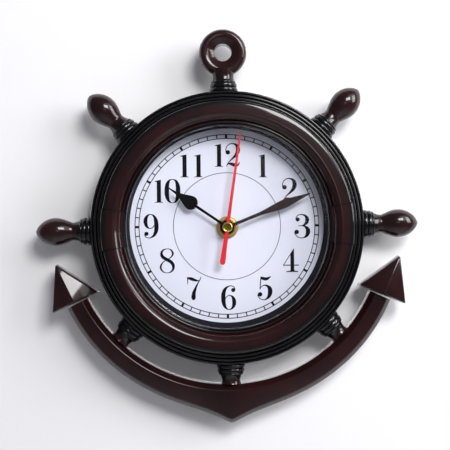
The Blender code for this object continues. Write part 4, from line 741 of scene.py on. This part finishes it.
def makeArms():
    # outer edge: R + swell (1 - a / spread) + crown e^(-rounded a / decay); the section follows it round
    v = armValues
    share = np.linspace(-1, 1, v["stations"])
    degrees = v["spread"] * np.sign(share) * np.abs(share) ** v["stationPower"]
    away = np.abs(degrees)
    rounded = np.hypot(away, v["crownRounding"]) - v["crownRounding"]
    outer = v["outer"] + v["swell"] * (1 - away / v["spread"]) + v["crownRise"] * np.exp(-rounded / v["crownDecay"])
    inner = [np.full_like(outer, v["inner"] + inset) for inset in (0, 0, v["stepInset"], v["ridgeInset"])]
    radii = np.stack([*inner, outer - v["chamferWidth"], outer, outer], axis=1)
    levels = ("back", "wallDepth", "stepDepth", "ridgeDepth", "chamferTop", "chamferFoot", "back")
    depths = np.tile([v[level] for level in levels], (len(outer), 1))
    sections = roundedSections(np.stack([radii, depths], axis=2), v["rounding"], v["roundingSteps"])
    turn = np.radians(degrees - 90)[:, None]
    r, d = sections[..., 0], sections[..., 1]
    points = np.stack([r * np.cos(turn), r * np.sin(turn), d], axis=2)
    n = points.shape[1]
    faces = gridFaces(len(points), n).tolist()
    last = (len(points) - 1) * n
    faces += [list(range(n)), list(range(last + n - 1, last - 1, -1))]
    return makeMesh("anchorArms", points.reshape(-1, 3), faces, v["sharp"])


addCasePiece("anchorArms", makeArms(), "anchor_arms", material=mahoganyPlain)

flukeValues = {
    "arm": 102.1,
    "spread": 64.58,
    "tilt": 1.74,
    "seatGap": 0.72,
    "length": 26.73,
    "tipOffset": 2.03,
    "outerReach": 16.26,
    "innerReach": 14.85,
    "back": 7.0,
    "outerDepth": 19.6,
    "innerDepth": 18.2,
    "ridgeDepth": 23.3,
    "tipDepth": 18.8,
    "draft": 1.0,
    "rounding": 0.6,
    "roundingSteps": 4,
    "sharp": 28,
}


def makeFluke(name, side):
    # seven corners: three at the back, three drawn in at the front and the ridge's high end; hulled and bevelled
    v = flukeValues
    a, b = math.radians(v["spread"] - 90), math.radians(v["spread"] - 90 + v["tilt"])
    along = np.array([math.cos(b), math.sin(b)])
    towards = np.array([-along[1], along[0]])
    seat = v["arm"] * np.array([math.cos(a), math.sin(a)]) + towards * v["seatGap"]
    tip = seat + towards * v["length"] + along * v["tipOffset"]
    outer, inner = seat + along * v["outerReach"], seat - along * v["innerReach"]
    centre, middle = (tip + outer + inner) / 3, (outer + inner) / 2

    def drawnIn(point):
        return point + (centre - point) / np.linalg.norm(centre - point) * v["draft"]

    fronts = ((tip, "tipDepth"), (outer, "outerDepth"), (inner, "innerDepth"), (middle, "ridgeDepth"))
    corners = [(*point, v["back"]) for point in (tip, outer, inner)]
    corners += [(*drawnIn(point), v[depth]) for point, depth in fronts]
    corners = np.array(corners) * (side, 1, 1)
    shape = bmesh.new()
    for corner in toWorld(corners):
        shape.verts.new(corner)
    bmesh.ops.convex_hull(shape, input=shape.verts)
    bmesh.ops.dissolve_limit(shape, angle_limit=math.radians(1), verts=shape.verts, edges=shape.edges)
    bmesh.ops.bevel(shape, geom=shape.edges[:] + shape.verts[:], offset=v["rounding"] * millimetre,
                    segments=v["roundingSteps"], profile=0.5, affect="EDGES", clamp_overlap=True)
    bmesh.ops.recalc_face_normals(shape, faces=shape.faces)
    return smoothShade(writeMesh(shape, bpy.data.meshes.new(name)), v["sharp"])


for name, side, node in (("flukeRight", 1, "fluke_right"), ("flukeLeft", -1, "fluke_left")):
    addCasePiece(name, makeFluke(name, side), node, material=mahoganyPlain)


print("printing the dial")

dialValues = {
    "printPlace": (-0.15, 0.7),
    "printTurn": -0.9,
    "inkLow": 20.08,
    "inkHigh": 20.125,
    "trackOuter": 55.6,
    "trackInner": 53.2,
    "trackLine": 0.5,
    "minuteLine": 0.62,
    "hourBar": (1.4, 2.3),
    "innerCircle": 32.4,
    "innerLine": 0.36,
    "numeralPlaces": {
        "12": (-0.2, 43.0), "1": (22.1, 36.4), "2": (38.1, 21.5), "3": (45.6, -0.5), "4": (38.4, -20.9),
        "5": (22.5, -37.7), "6": (0.6, -43.2), "7": (-20.1, -37.4), "8": (-36.3, -20.5), "9": (-46.0, 0.5),
        "10": (-36.9, 21.6), "11": (-21.1, 36.8),
    },
    "digitPitch": {"10": 8.2, "11": 8.5, "12": 8.4},
    "strokeSteps": 6,
    "dropSteps": 24,
    "ringSteps": 360,
    "sharp": 30,
}

# Each digit is drawn about its middle: an outline is a run of (x, y), a pen stroke or a closed loop
# a run of (x, y, width), and a round drop (x, y, radius).
digitShapes = {
    "1": {"outline": [(-2.5, 6.1), (1.25, 6.95), (1.25, -6.2), (1.5, -6.45), (2.4, -6.6), (2.4, -6.95),
        (-2.5, -6.95), (-2.5, -6.6), (-1.5, -6.45), (-1.25, -6.2), (-1.25, 5.5), (-1.5, 5.65), (-2.5, 5.7)]},
    "2": {"strokes": [
        [(-4.15, 1.7, 0.5), (-4.15, 3.9, 0.5), (-3.2, 5.8, 0.55), (-1.4, 6.95, 0.6), (0.5, 6.95, 0.8),
         (2.3, 6, 1.7), (3.05, 4.2, 2.5), (2.95, 2.2, 2.5), (1.7, -0.1, 1.8), (-0.5, -2.2, 0.95), (-2.4, -4, 0.5),
         (-3.4, -5.4, 0.45), (-3.9, -6.95, 0.4)],
        [(-3.7, -6.1, 0.3), (-2.7, -5.15, 0.9), (-1, -5.3, 1.7), (0.8, -5.95, 2.1), (2.4, -6.1, 1.6),
         (3.5, -5.3, 0.8), (4.05, -4.1, 0.35)],
    ], "drops": [(-3.05, 1.75, 1.35)]},
    "3": {"strokes": [
        [(-3.9, 4.2, 0.5), (-3.5, 5.7, 0.5), (-2.2, 6.85, 0.5), (-0.3, 7.1, 0.6), (1.8, 6.4, 1.3), (2.95, 4.4, 2.3),
         (2.5, 2.2, 2), (1, 0.75, 1), (-0.6, 0.35, 0.45), (-2.4, 0.3, 0.5)],
        [(-0.4, 0.35, 0.45), (1.5, -0.1, 1.1), (3.1, -1.6, 2.3), (3.4, -3.5, 2.65), (2.6, -5.6, 1.8),
         (0.8, -6.85, 0.7), (-0.9, -7.05, 0.5), (-3, -6.3, 0.5), (-4.4, -4.7, 0.5), (-4.65, -3.4, 0.5)],
    ], "drops": [(-2.8, 4.15, 1.25), (-3.45, -3.45, 1.35)]},
    "4": {"outline": [(1.98, 7.25), (1.98, -6), (2.3, -6.4), (4.3, -6.65), (4.3, -7.2), (-2.8, -7.2), (-2.8, -6.65),
        (-0.5, -6.4), (-0.25, -6), (-0.25, 3.7)],
        "strokes": [
        [(1.75, 6.6, 0.45), (-1.4, 1.8, 0.45), (-4.55, -3.05, 0.45)],
        [(-4.75, -3.05, 0.6), (0, -3.05, 0.6), (4.8, -3.05, 0.6)],
    ]},
    "5": {"strokes": [
        [(-2.6, 6.95, 0.35), (-1.9, 6.3, 1.5), (-0.9, 5.85, 1.9), (0.7, 5.6, 1.9), (2.2, 6.1, 1.35),
         (3.7, 7.15, 0.35)],
        [(-2.3, 6.85, 0.7), (-2.65, 3, 0.6), (-3, -0.7, 0.5)],
        [(-3, -0.7, 0.45), (-2.2, 0.8, 0.45), (-0.6, 1.75, 0.6), (1.2, 1.5, 1.2), (2.75, 0.1, 2.3),
         (3.15, -2.2, 2.75), (2.4, -4.9, 2), (0.6, -6.65, 0.8), (-0.8, -6.95, 0.5), (-2.8, -6.35, 0.5),
         (-4.15, -4.8, 0.5), (-4.3, -3.6, 0.5)],
    ], "drops": [(-2.95, -3.7, 1.35)]},
    "6": {"strokes": [
        [(3.85, 4.7, 0.5), (3.4, 6.3, 0.5), (1.7, 7.1, 0.5), (0.2, 6.95, 0.65), (-1.9, 5.5, 1.6), (-3.1, 2.8, 2.4),
         (-3.3, -0.4, 2.6), (-2.95, -3.6, 2.3), (-1.8, -6.1, 1.2), (0.1, -7.1, 0.5), (1.9, -6.4, 1.2),
         (3.1, -4.3, 2.2), (3.2, -1.9, 2.3), (2.4, 0.3, 1.5), (0.9, 1.35, 0.6), (-0.5, 1.15, 0.5),
         (-1.8, -0.1, 0.45), (-2.4, -1.8, 0.4)],
    ], "drops": [(2.75, 4.6, 1.25)]},
    "7": {"strokes": [
        [(-3.95, 6.9, 0.9), (-3.95, 5, 0.6), (-4.1, 2.6, 0.3)],
        [(-3.95, 6.5, 0.6), (-3, 6.15, 1.5), (-1.5, 5.7, 1.9), (0.5, 4.95, 1.5), (2.2, 4.6, 0.8), (3.2, 4.8, 0.4)],
        [(4.1, 6.95, 0.4), (3.3, 5, 0.55), (1.9, 2.6, 0.8), (0.6, -0.2, 1.4), (-0.3, -2.8, 2.2), (-0.55, -5, 2.6),
         (-0.5, -6.2, 2.2), (-0.45, -7, 1)],
    ]},
    "8": {"loops": [
        [(0, 7.2, 0.4), (-2.3, 6.55, 0.9), (-3.5, 4.6, 1.5), (-2.8, 2.4, 1.9), (-0.6, 0.9, 2), (2, -0.6, 2),
         (3.5, -2.6, 1.9), (3.5, -5, 1.4), (2.1, -6.75, 0.8), (0, -7.3, 0.4), (-2.3, -6.75, 0.7),
         (-3.85, -4.9, 1.1), (-3.85, -3, 1.1), (-2.8, -1.2, 0.7), (-1.2, 0.1, 0.5), (1, 1.3, 0.5), (2.6, 2.5, 0.8),
         (3.4, 4.3, 1.2), (2.7, 6, 1), (1.5, 6.95, 0.6)],
    ]},
    "0": {"loops": [
        [(0, 7.1, 0.4), (-2, 6.2, 1.3), (-3.15, 3.6, 2.4), (-3.4, 0, 2.75), (-3.15, -3.6, 2.4), (-2, -6.2, 1.3),
         (0, -7.1, 0.4), (2, -6.2, 1.3), (3.15, -3.6, 2.4), (3.4, 0, 2.75), (3.15, 3.6, 2.4), (2, 6.2, 1.3)],
    ]},
}
digitShapes["9"] = {"strokes": [[(-x, -y, w) for x, y, w in stroke] for stroke in digitShapes["6"]["strokes"]],
                    "drops": [(-x, -y, r) for x, y, r in digitShapes["6"]["drops"]]}


def penStroke(stations, loop):
    # centre line C(t) and width w(t) are smooth curves through the stations; the sides are C ± w/2 along the normal
    p, steps = np.asarray(stations, float), dialValues["strokeSteps"]
    if loop:
        p = np.vstack([p[-2:], p, p[:3]])
    line = smoothCurve(p, steps)
    if loop:
        line = line[2 * steps: -2 * steps - 1]
        ahead, behind = np.roll(line, -1, axis=0), np.roll(line, 1, axis=0)
        slope = ahead - behind
    else:
        slope = np.gradient(line, axis=0)
    along = slope[:, :2] / np.linalg.norm(slope[:, :2], axis=1, keepdims=True)
    normal = np.stack([-along[:, 1], along[:, 0]], axis=1) * line[:, 2:3] / 2
    return line[:, :2] + normal, line[:, :2] - normal


def inkBar(left, right, loop):
    # a thin bar of ink between two side lines, with its four long edges and, where it is open, its ends
    n, low, high = len(left), dialValues["inkLow"], dialValues["inkHigh"]
    rows = np.stack([atDepth(left, low), atDepth(left, high), atDepth(right, high), atDepth(right, low)], axis=1)
    faces = gridFaces(n, 4, closedRows=loop).tolist()
    if not loop:
        faces += [[0, 1, 2, 3], [4 * n - 1, 4 * n - 2, 4 * n - 3, 4 * n - 4]]
    return rows.reshape(-1, 3), faces


def inkShape(outline):
    # a thin prism on a plain outline
    n = len(outline)
    points = np.vstack([atDepth(outline, dialValues["inkHigh"]), atDepth(outline, dialValues["inkLow"])])
    k = np.arange(n)
    sides = np.stack([k, (k + 1) % n, n + (k + 1) % n, n + k], axis=1).tolist()
    return points, [list(range(n)), list(range(2 * n - 1, n - 1, -1))] + sides


def digitInk(digit):
    shape = digitShapes[digit]
    made = [inkShape(np.array(shape["outline"], float))] if "outline" in shape else []
    for kind in ("strokes", "loops"):
        loop = kind == "loops"
        made += [inkBar(*penStroke(stations, loop), loop) for stations in shape.get(kind, [])]
    return made + [inkShape(circlePoints((x, y), r, dialValues["dropSteps"])) for x, y, r in shape.get("drops", [])]


def ringInk(radius, width):
    a = fullTurn(dialValues["ringSteps"])
    circle = np.stack([np.cos(a), np.sin(a)], axis=1)
    return inkBar(circle * (radius + width / 2), circle * (radius - width / 2), True)


def makePrint():
    # everything that is printed, moved and turned together by the small error of the printing
    v = dialValues
    parts = [ringInk(v["trackOuter"], v["trackLine"]), ringInk(v["trackInner"], v["trackLine"]),
             ringInk(v["innerCircle"], v["innerLine"])]
    middle = (v["trackOuter"] + v["trackInner"]) / 2
    for minute in range(60):
        width, length = v["hourBar"] if minute % 5 == 0 else (v["minuteLine"], v["trackOuter"] - v["trackInner"])
        a = math.radians(90 - 6 * minute)
        out, side = np.array([math.cos(a), math.sin(a)]), np.array([-math.sin(a), math.cos(a)])
        corners = ((1, 1), (-1, 1), (-1, -1), (1, -1))
        ends = [out * (middle + s * length / 2) + side * t * width / 2 for s, t in corners]
        parts.append(inkShape(np.array(ends)))
    for numeral, place in v["numeralPlaces"].items():
        pitch = v["digitPitch"].get(numeral, 0)
        for k, digit in enumerate(numeral):
            shift = np.array([place[0] + pitch * (k - (len(numeral) - 1) / 2), place[1], 0])
            parts += [(points + shift, faces) for points, faces in digitInk(digit)]
    turn, meshes = math.radians(v["printTurn"]), []
    spin = np.array([[math.cos(turn), math.sin(turn), 0], [-math.sin(turn), math.cos(turn), 0], [0, 0, 1]])
    for k, (points, faces) in enumerate(parts):
        meshes.append(makeMesh("ink" + str(k), points @ spin + np.array([*v["printPlace"], 0]), faces, v["sharp"]))
    return joinMeshes("dialPrint", meshes, v["sharp"])


addPiece("dialPrint", makePrint(), ink, "hand_black")

print("making the hands")

handValues = {
    "thickness": 0.4,
    "edge": 0.06,
    "hour": {"turn": 305.2, "depth": 24.6, "hub": 4.15, "hole": 2.5, "reach": 44.2},
    "minute": {"turn": 69.2, "depth": 26.4, "hub": 3.6, "hole": 1.6, "reach": 53.9},
    "second": {"turn": 9.3, "depth": 27.9, "reach": 56.1},
    "hourLine": [(0, 0.8), (21, 0.85), (22.3, 1.5), (23.6, 3.1), (25, 4.05), (26.6, 4.2), (28.5, 3.75), (30.5, 2.95),
                 (33, 1.95), (35.3, 1.2), (37, 0.8), (40, 0.5), (43.6, 0.25)],
    "minuteLine": [(0, 0.95), (14, 0.95), (21, 1.05), (25, 1.4), (30, 2.0), (34, 2.45), (37, 2.6), (41, 2.15),
                   (47, 1.25), (53.4, 0.3)],
    "secondLine": [(-22.7, 0.4), (-22.2, 1.2), (-21.2, 1.55), (-19.5, 1.6), (-12, 1.35), (-3, 1.2), (0, 1.2),
                   (3, 1.1), (10, 0.95), (30, 0.8), (55.7, 0.55), (56.1, 0.25)],
    "hubSteps": 40,
    "holeSteps": 48,
    "sharp": 30,
}


def handOutline(line, reach, hub):
    # half widths along the hand, mirrored; the hub's circle joins in where it is wider than the blade
    p = smoothCurve(line)
    right = np.vstack([p, [(reach, 0)]]) if p[-1, 0] < reach else p
    if hub:
        start = math.asin(min(right[0, 1] / hub, 1))
        turns = np.linspace(math.pi, start, handValues["hubSteps"])
        circle = np.stack([hub * np.cos(turns), hub * np.sin(turns)], axis=1)
        right = np.vstack([circle, right[right[:, 0] > hub * math.cos(start)]])
    closed = np.vstack([right, right[::-1] * (1, -1)])
    keep = np.linalg.norm(closed - np.roll(closed, 1, axis=0), axis=1) > 1e-6
    return closed[keep]


def cutPlate(name, outline, low, high, edge, hole):
    # a stamped plate: its top is drawn in by a small edge all round, and it may have a round hole at the pivot
    ahead, behind = np.roll(outline, -1, axis=0), np.roll(outline, 1, axis=0)
    slope = (ahead - behind) / np.linalg.norm(ahead - behind, axis=1, keepdims=True)
    area = np.sum(outline[:, 0] * ahead[:, 1] - ahead[:, 0] * outline[:, 1]) / 2
    inward = np.stack([-slope[:, 1], slope[:, 0]], axis=1) * (1 if area > 0 else -1)
    loops = [(outline + inward * edge, outline)]
    if hole:
        circle = circlePoints((0, 0), hole, handValues["holeSteps"])
        loops.append((circle * (1 + edge / hole), circle))
    shape = bmesh.new()
    for top, _ in loops:
        ring = [shape.verts.new((x, y, 0)) for x, y in top]
        for k in range(len(ring)):
            shape.edges.new((ring[k - 1], ring[k]))
    bmesh.ops.triangle_fill(shape, edges=shape.edges, use_beauty=True)
    shape.verts.index_update()
    tops = [[v.index for v in face.verts] for face in shape.faces]
    shape.free()
    flat, full = [np.vstack(part) for part in zip(*loops)]
    n = len(flat)
    points = np.vstack([atDepth(flat, high), atDepth(full, high - edge), atDepth(full, low)])
    faces = tops + [[2 * n + k for k in face[::-1]] for face in tops]
    start = 0
    for top, _ in loops:
        k = np.arange(len(top))
        for level in (0, n):
            here, ahead = start + level + k, start + level + (k + 1) % len(k)
            faces += np.stack([here, ahead, ahead + n, here + n], axis=1).tolist()
        start += len(top)
    return faceOutwards(makeMesh(name, points, faces, handValues["sharp"]))


def turned(outline, degrees):
    # the hand's own line is turned clockwise from twelve
    a = math.radians(90 - degrees)
    return outline @ np.array([[math.cos(a), math.sin(a)], [-math.sin(a), math.cos(a)]])


for name, body, material, slotName in (
    ("hour", "hour_body", handBlack, "hand_black"),
    ("minute", "minute_body", handBrown, "hand_black"),
    ("second", "seconds_body", handRed, "hand_red"),
):
    v, own = handValues, handValues[name]
    outline = turned(handOutline(v[name + "Line"], own["reach"], own.get("hub", 0)), own["turn"])
    low, high = own["depth"], own["depth"] + v["thickness"]
    mesh = cutPlate(name + "Hand", outline, low, high, v["edge"], own.get("hole", 0))
    addPiece(name + "Hand", mesh, material, slotName, name + "_hand", body=body)

print("making the brass pieces")

brassValues = {
    # profiles (radius, depth) of pieces turned about the pivot
    "cap": [(0, 28.3), (2.8, 28.3), (3.02, 28.45), (3.05, 28.85), (2.85, 29.15), (2.45, 29.32), (2.2, 29.25),
            (2.05, 29.02), (1.2, 28.96), (0, 28.95)],
    "nut": [(4.15, 21.1), (5.85, 21.1), (5.85, 22.75), (5.75, 22.95), (5.5, 23.1), (4.75, 23.1), (4.5, 23.0),
            (4.15, 22.7)],
    "washer": [(4.3, 20.4), (6.6, 20.4), (6.6, 20.68), (6.48, 20.8), (4.4, 20.8), (4.3, 20.7)],
    "steps": 96,
    "sharp": 38,
}

for name, part, material, body, node in (
    ("secondHandCap", "cap", brassCap, "seconds_body", "second_hand_cap"),
    ("fixingNut", "nut", brass, caseBody, "fixing_nut"),
    ("dialWasher", "washer", brass, caseBody, "dial_washer"),
):
    # the cap's profile starts and ends on the axis, the other two are closed rings
    mesh = spinFront(name, brassValues[part], brassValues["steps"], brassValues["sharp"], closed=part != "cap")
    addPiece(name, mesh, material, "brass", node, body=body)


print("placing the camera, wall, floor and lamps")

cameraValues = {
    "position": (-8.0, -11.0, 614.0),
    "wheelCentrePixel": (227.1, 227.6),
    "roll": 1.5,
    "focalPixels": 982.0,
    "sensor": 36.0,
    "pictureSide": 450.0,
}


def makeCamera():
    # looks at the point that the photograph's centre shows in the plane of the spokes, then rolls clockwise
    v = cameraValues
    half = v["pictureSide"] / 2
    pixelX, pixelY = v["wheelCentrePixel"]
    scale = (v["position"][2] - axisDepth) / v["focalPixels"]
    target = Vector(toWorld([((half - pixelX) * scale, (pixelY - half) * scale, axisDepth)])[0])
    place = Vector(toWorld([v["position"]])[0])
    data = bpy.data.cameras.new("camera")
    data.sensor_width = v["sensor"]
    data.lens = v["focalPixels"] / v["pictureSide"] * v["sensor"]
    camera = newObject("camera", data)
    forward = (target - place).normalized()
    right = forward.cross(Vector((0, 0, 1))).normalized()
    up = right.cross(forward)
    roll = math.radians(v["roll"])
    rolledUp = up * math.cos(roll) + right * math.sin(roll)
    rolledRight = forward.cross(rolledUp).normalized()
    axes = Matrix((rolledRight, rolledUp, -forward)).transposed().to_4x4()
    camera.matrix_world = Matrix.Translation(place) @ axes
    bpy.context.scene.camera = camera


makeCamera()

stageValues = {
    "wall": linear(238, 238, 240),
    "floor": linear(226, 226, 228),
    "lift": 0.04,
    "noiseScale": 40.0,
    "roughness": 0.85,
    "roughnessSpread": 0.1,
    "side": 3.0,
    "wallGap": 0.4,
    "floorHeight": -1.2,
    "world": (0.14, 0.14, 0.155),
}


def stageFinish(name, colour):
    # pale and matt, and lifted a little where it is looked at, also by way of a mirror or glass; clear from behind
    # and to shadow rays, so that the clock's back is seen and lit
    v = stageValues
    made = Finish(name, colour, v["roughness"])
    path = made.node("ShaderNodeLightPath")
    camera, mirror, glass, shadow = [Value(made.tree, path.outputs["Is %s Ray" % kind])
                                     for kind in ("Camera", "Glossy", "Transmission", "Shadow")]
    seen = (camera + mirror + glass).math("MINIMUM", 1.0)
    made.set(Roughness=made.noise(v["noiseScale"]) * v["roughnessSpread"] + v["roughness"], Emission_Strength=1.0,
             Emission_Color=made.mixColour(seen, (0, 0, 0), (v["lift"],) * 3))
    back = Value(made.tree, made.node("ShaderNodeNewGeometry").outputs["Backfacing"])
    clear = made.node("ShaderNodeBsdfTransparent")
    return made.mixShaders((back + shadow).math("MINIMUM", 1.0), made.shader, clear)


def makeWorld():
    # an even room light of one colour
    world = bpy.data.worlds.new("studio")
    world.use_nodes = True
    world.node_tree.nodes["Background"].inputs["Color"].default_value = (*stageValues["world"], 1)
    bpy.context.scene.world = world


def makeStage():
    v = stageValues
    s, back, low = v["side"], v["wallGap"] * millimetre, v["floorHeight"]
    wallCorners = [(-s, back, low), (s, back, low), (s, back, s), (-s, back, s)]
    floorCorners = [(-s, -s, low), (s, -s, low), (s, back, low), (-s, back, low)]
    for name, corners, colour in (("wall", wallCorners, v["wall"]), ("floor", floorCorners, v["floor"])):
        mesh = bpy.data.meshes.new(name)
        mesh.from_pydata(corners, [], [(0, 1, 2, 3)])
        mesh.materials.append(stageFinish(name + "Paint", colour))
        plane = newObject(name, mesh)


makeStage()
makeWorld()

lampValues = {
    # name: place (x, y, d) in millimetres, width and height in metres, watts, colour
    "key": ((400, 590, 1010), (0.5, 0.36), 10.6, (1, 0.99, 0.99)),
    "mid": ((900, 800, 900), (1, 1), 5.4, (1, 0.99, 1)),
    "side": ((1250, 300, 700), (0.5, 0.5), 6.5, (1, 0.99, 1)),
    "low": ((1170, 715, 650), (0.5, 0.5), 6, (0.97, 0.98, 1)),
    "rear": ((0, 0, -1300), (0.3, 0.3), 4.5, (1, 1, 1)),
    "soft": ((150, 150, 1500), (0.24, 0.24), 0.38, (1, 0.93, 0.97)),
}
lampTarget = (0.0, 0.0, axisDepth)


def makeLamps():
    for name, (position, (width, height), watts, colour) in lampValues.items():
        data = bpy.data.lights.new(name, "AREA")
        data.shape = "RECTANGLE"
        data.size, data.size_y = width, height
        data.energy, data.color = watts, colour
        lamp = newObject(name, data)
        place = Vector(toWorld([position])[0])
        lamp.location = place
        lamp.rotation_euler = (Vector(toWorld([lampTarget])[0]) - place).to_track_quat("-Z", "Y").to_euler()


makeLamps()
bpy.context.scene.view_settings.view_transform = "Standard"
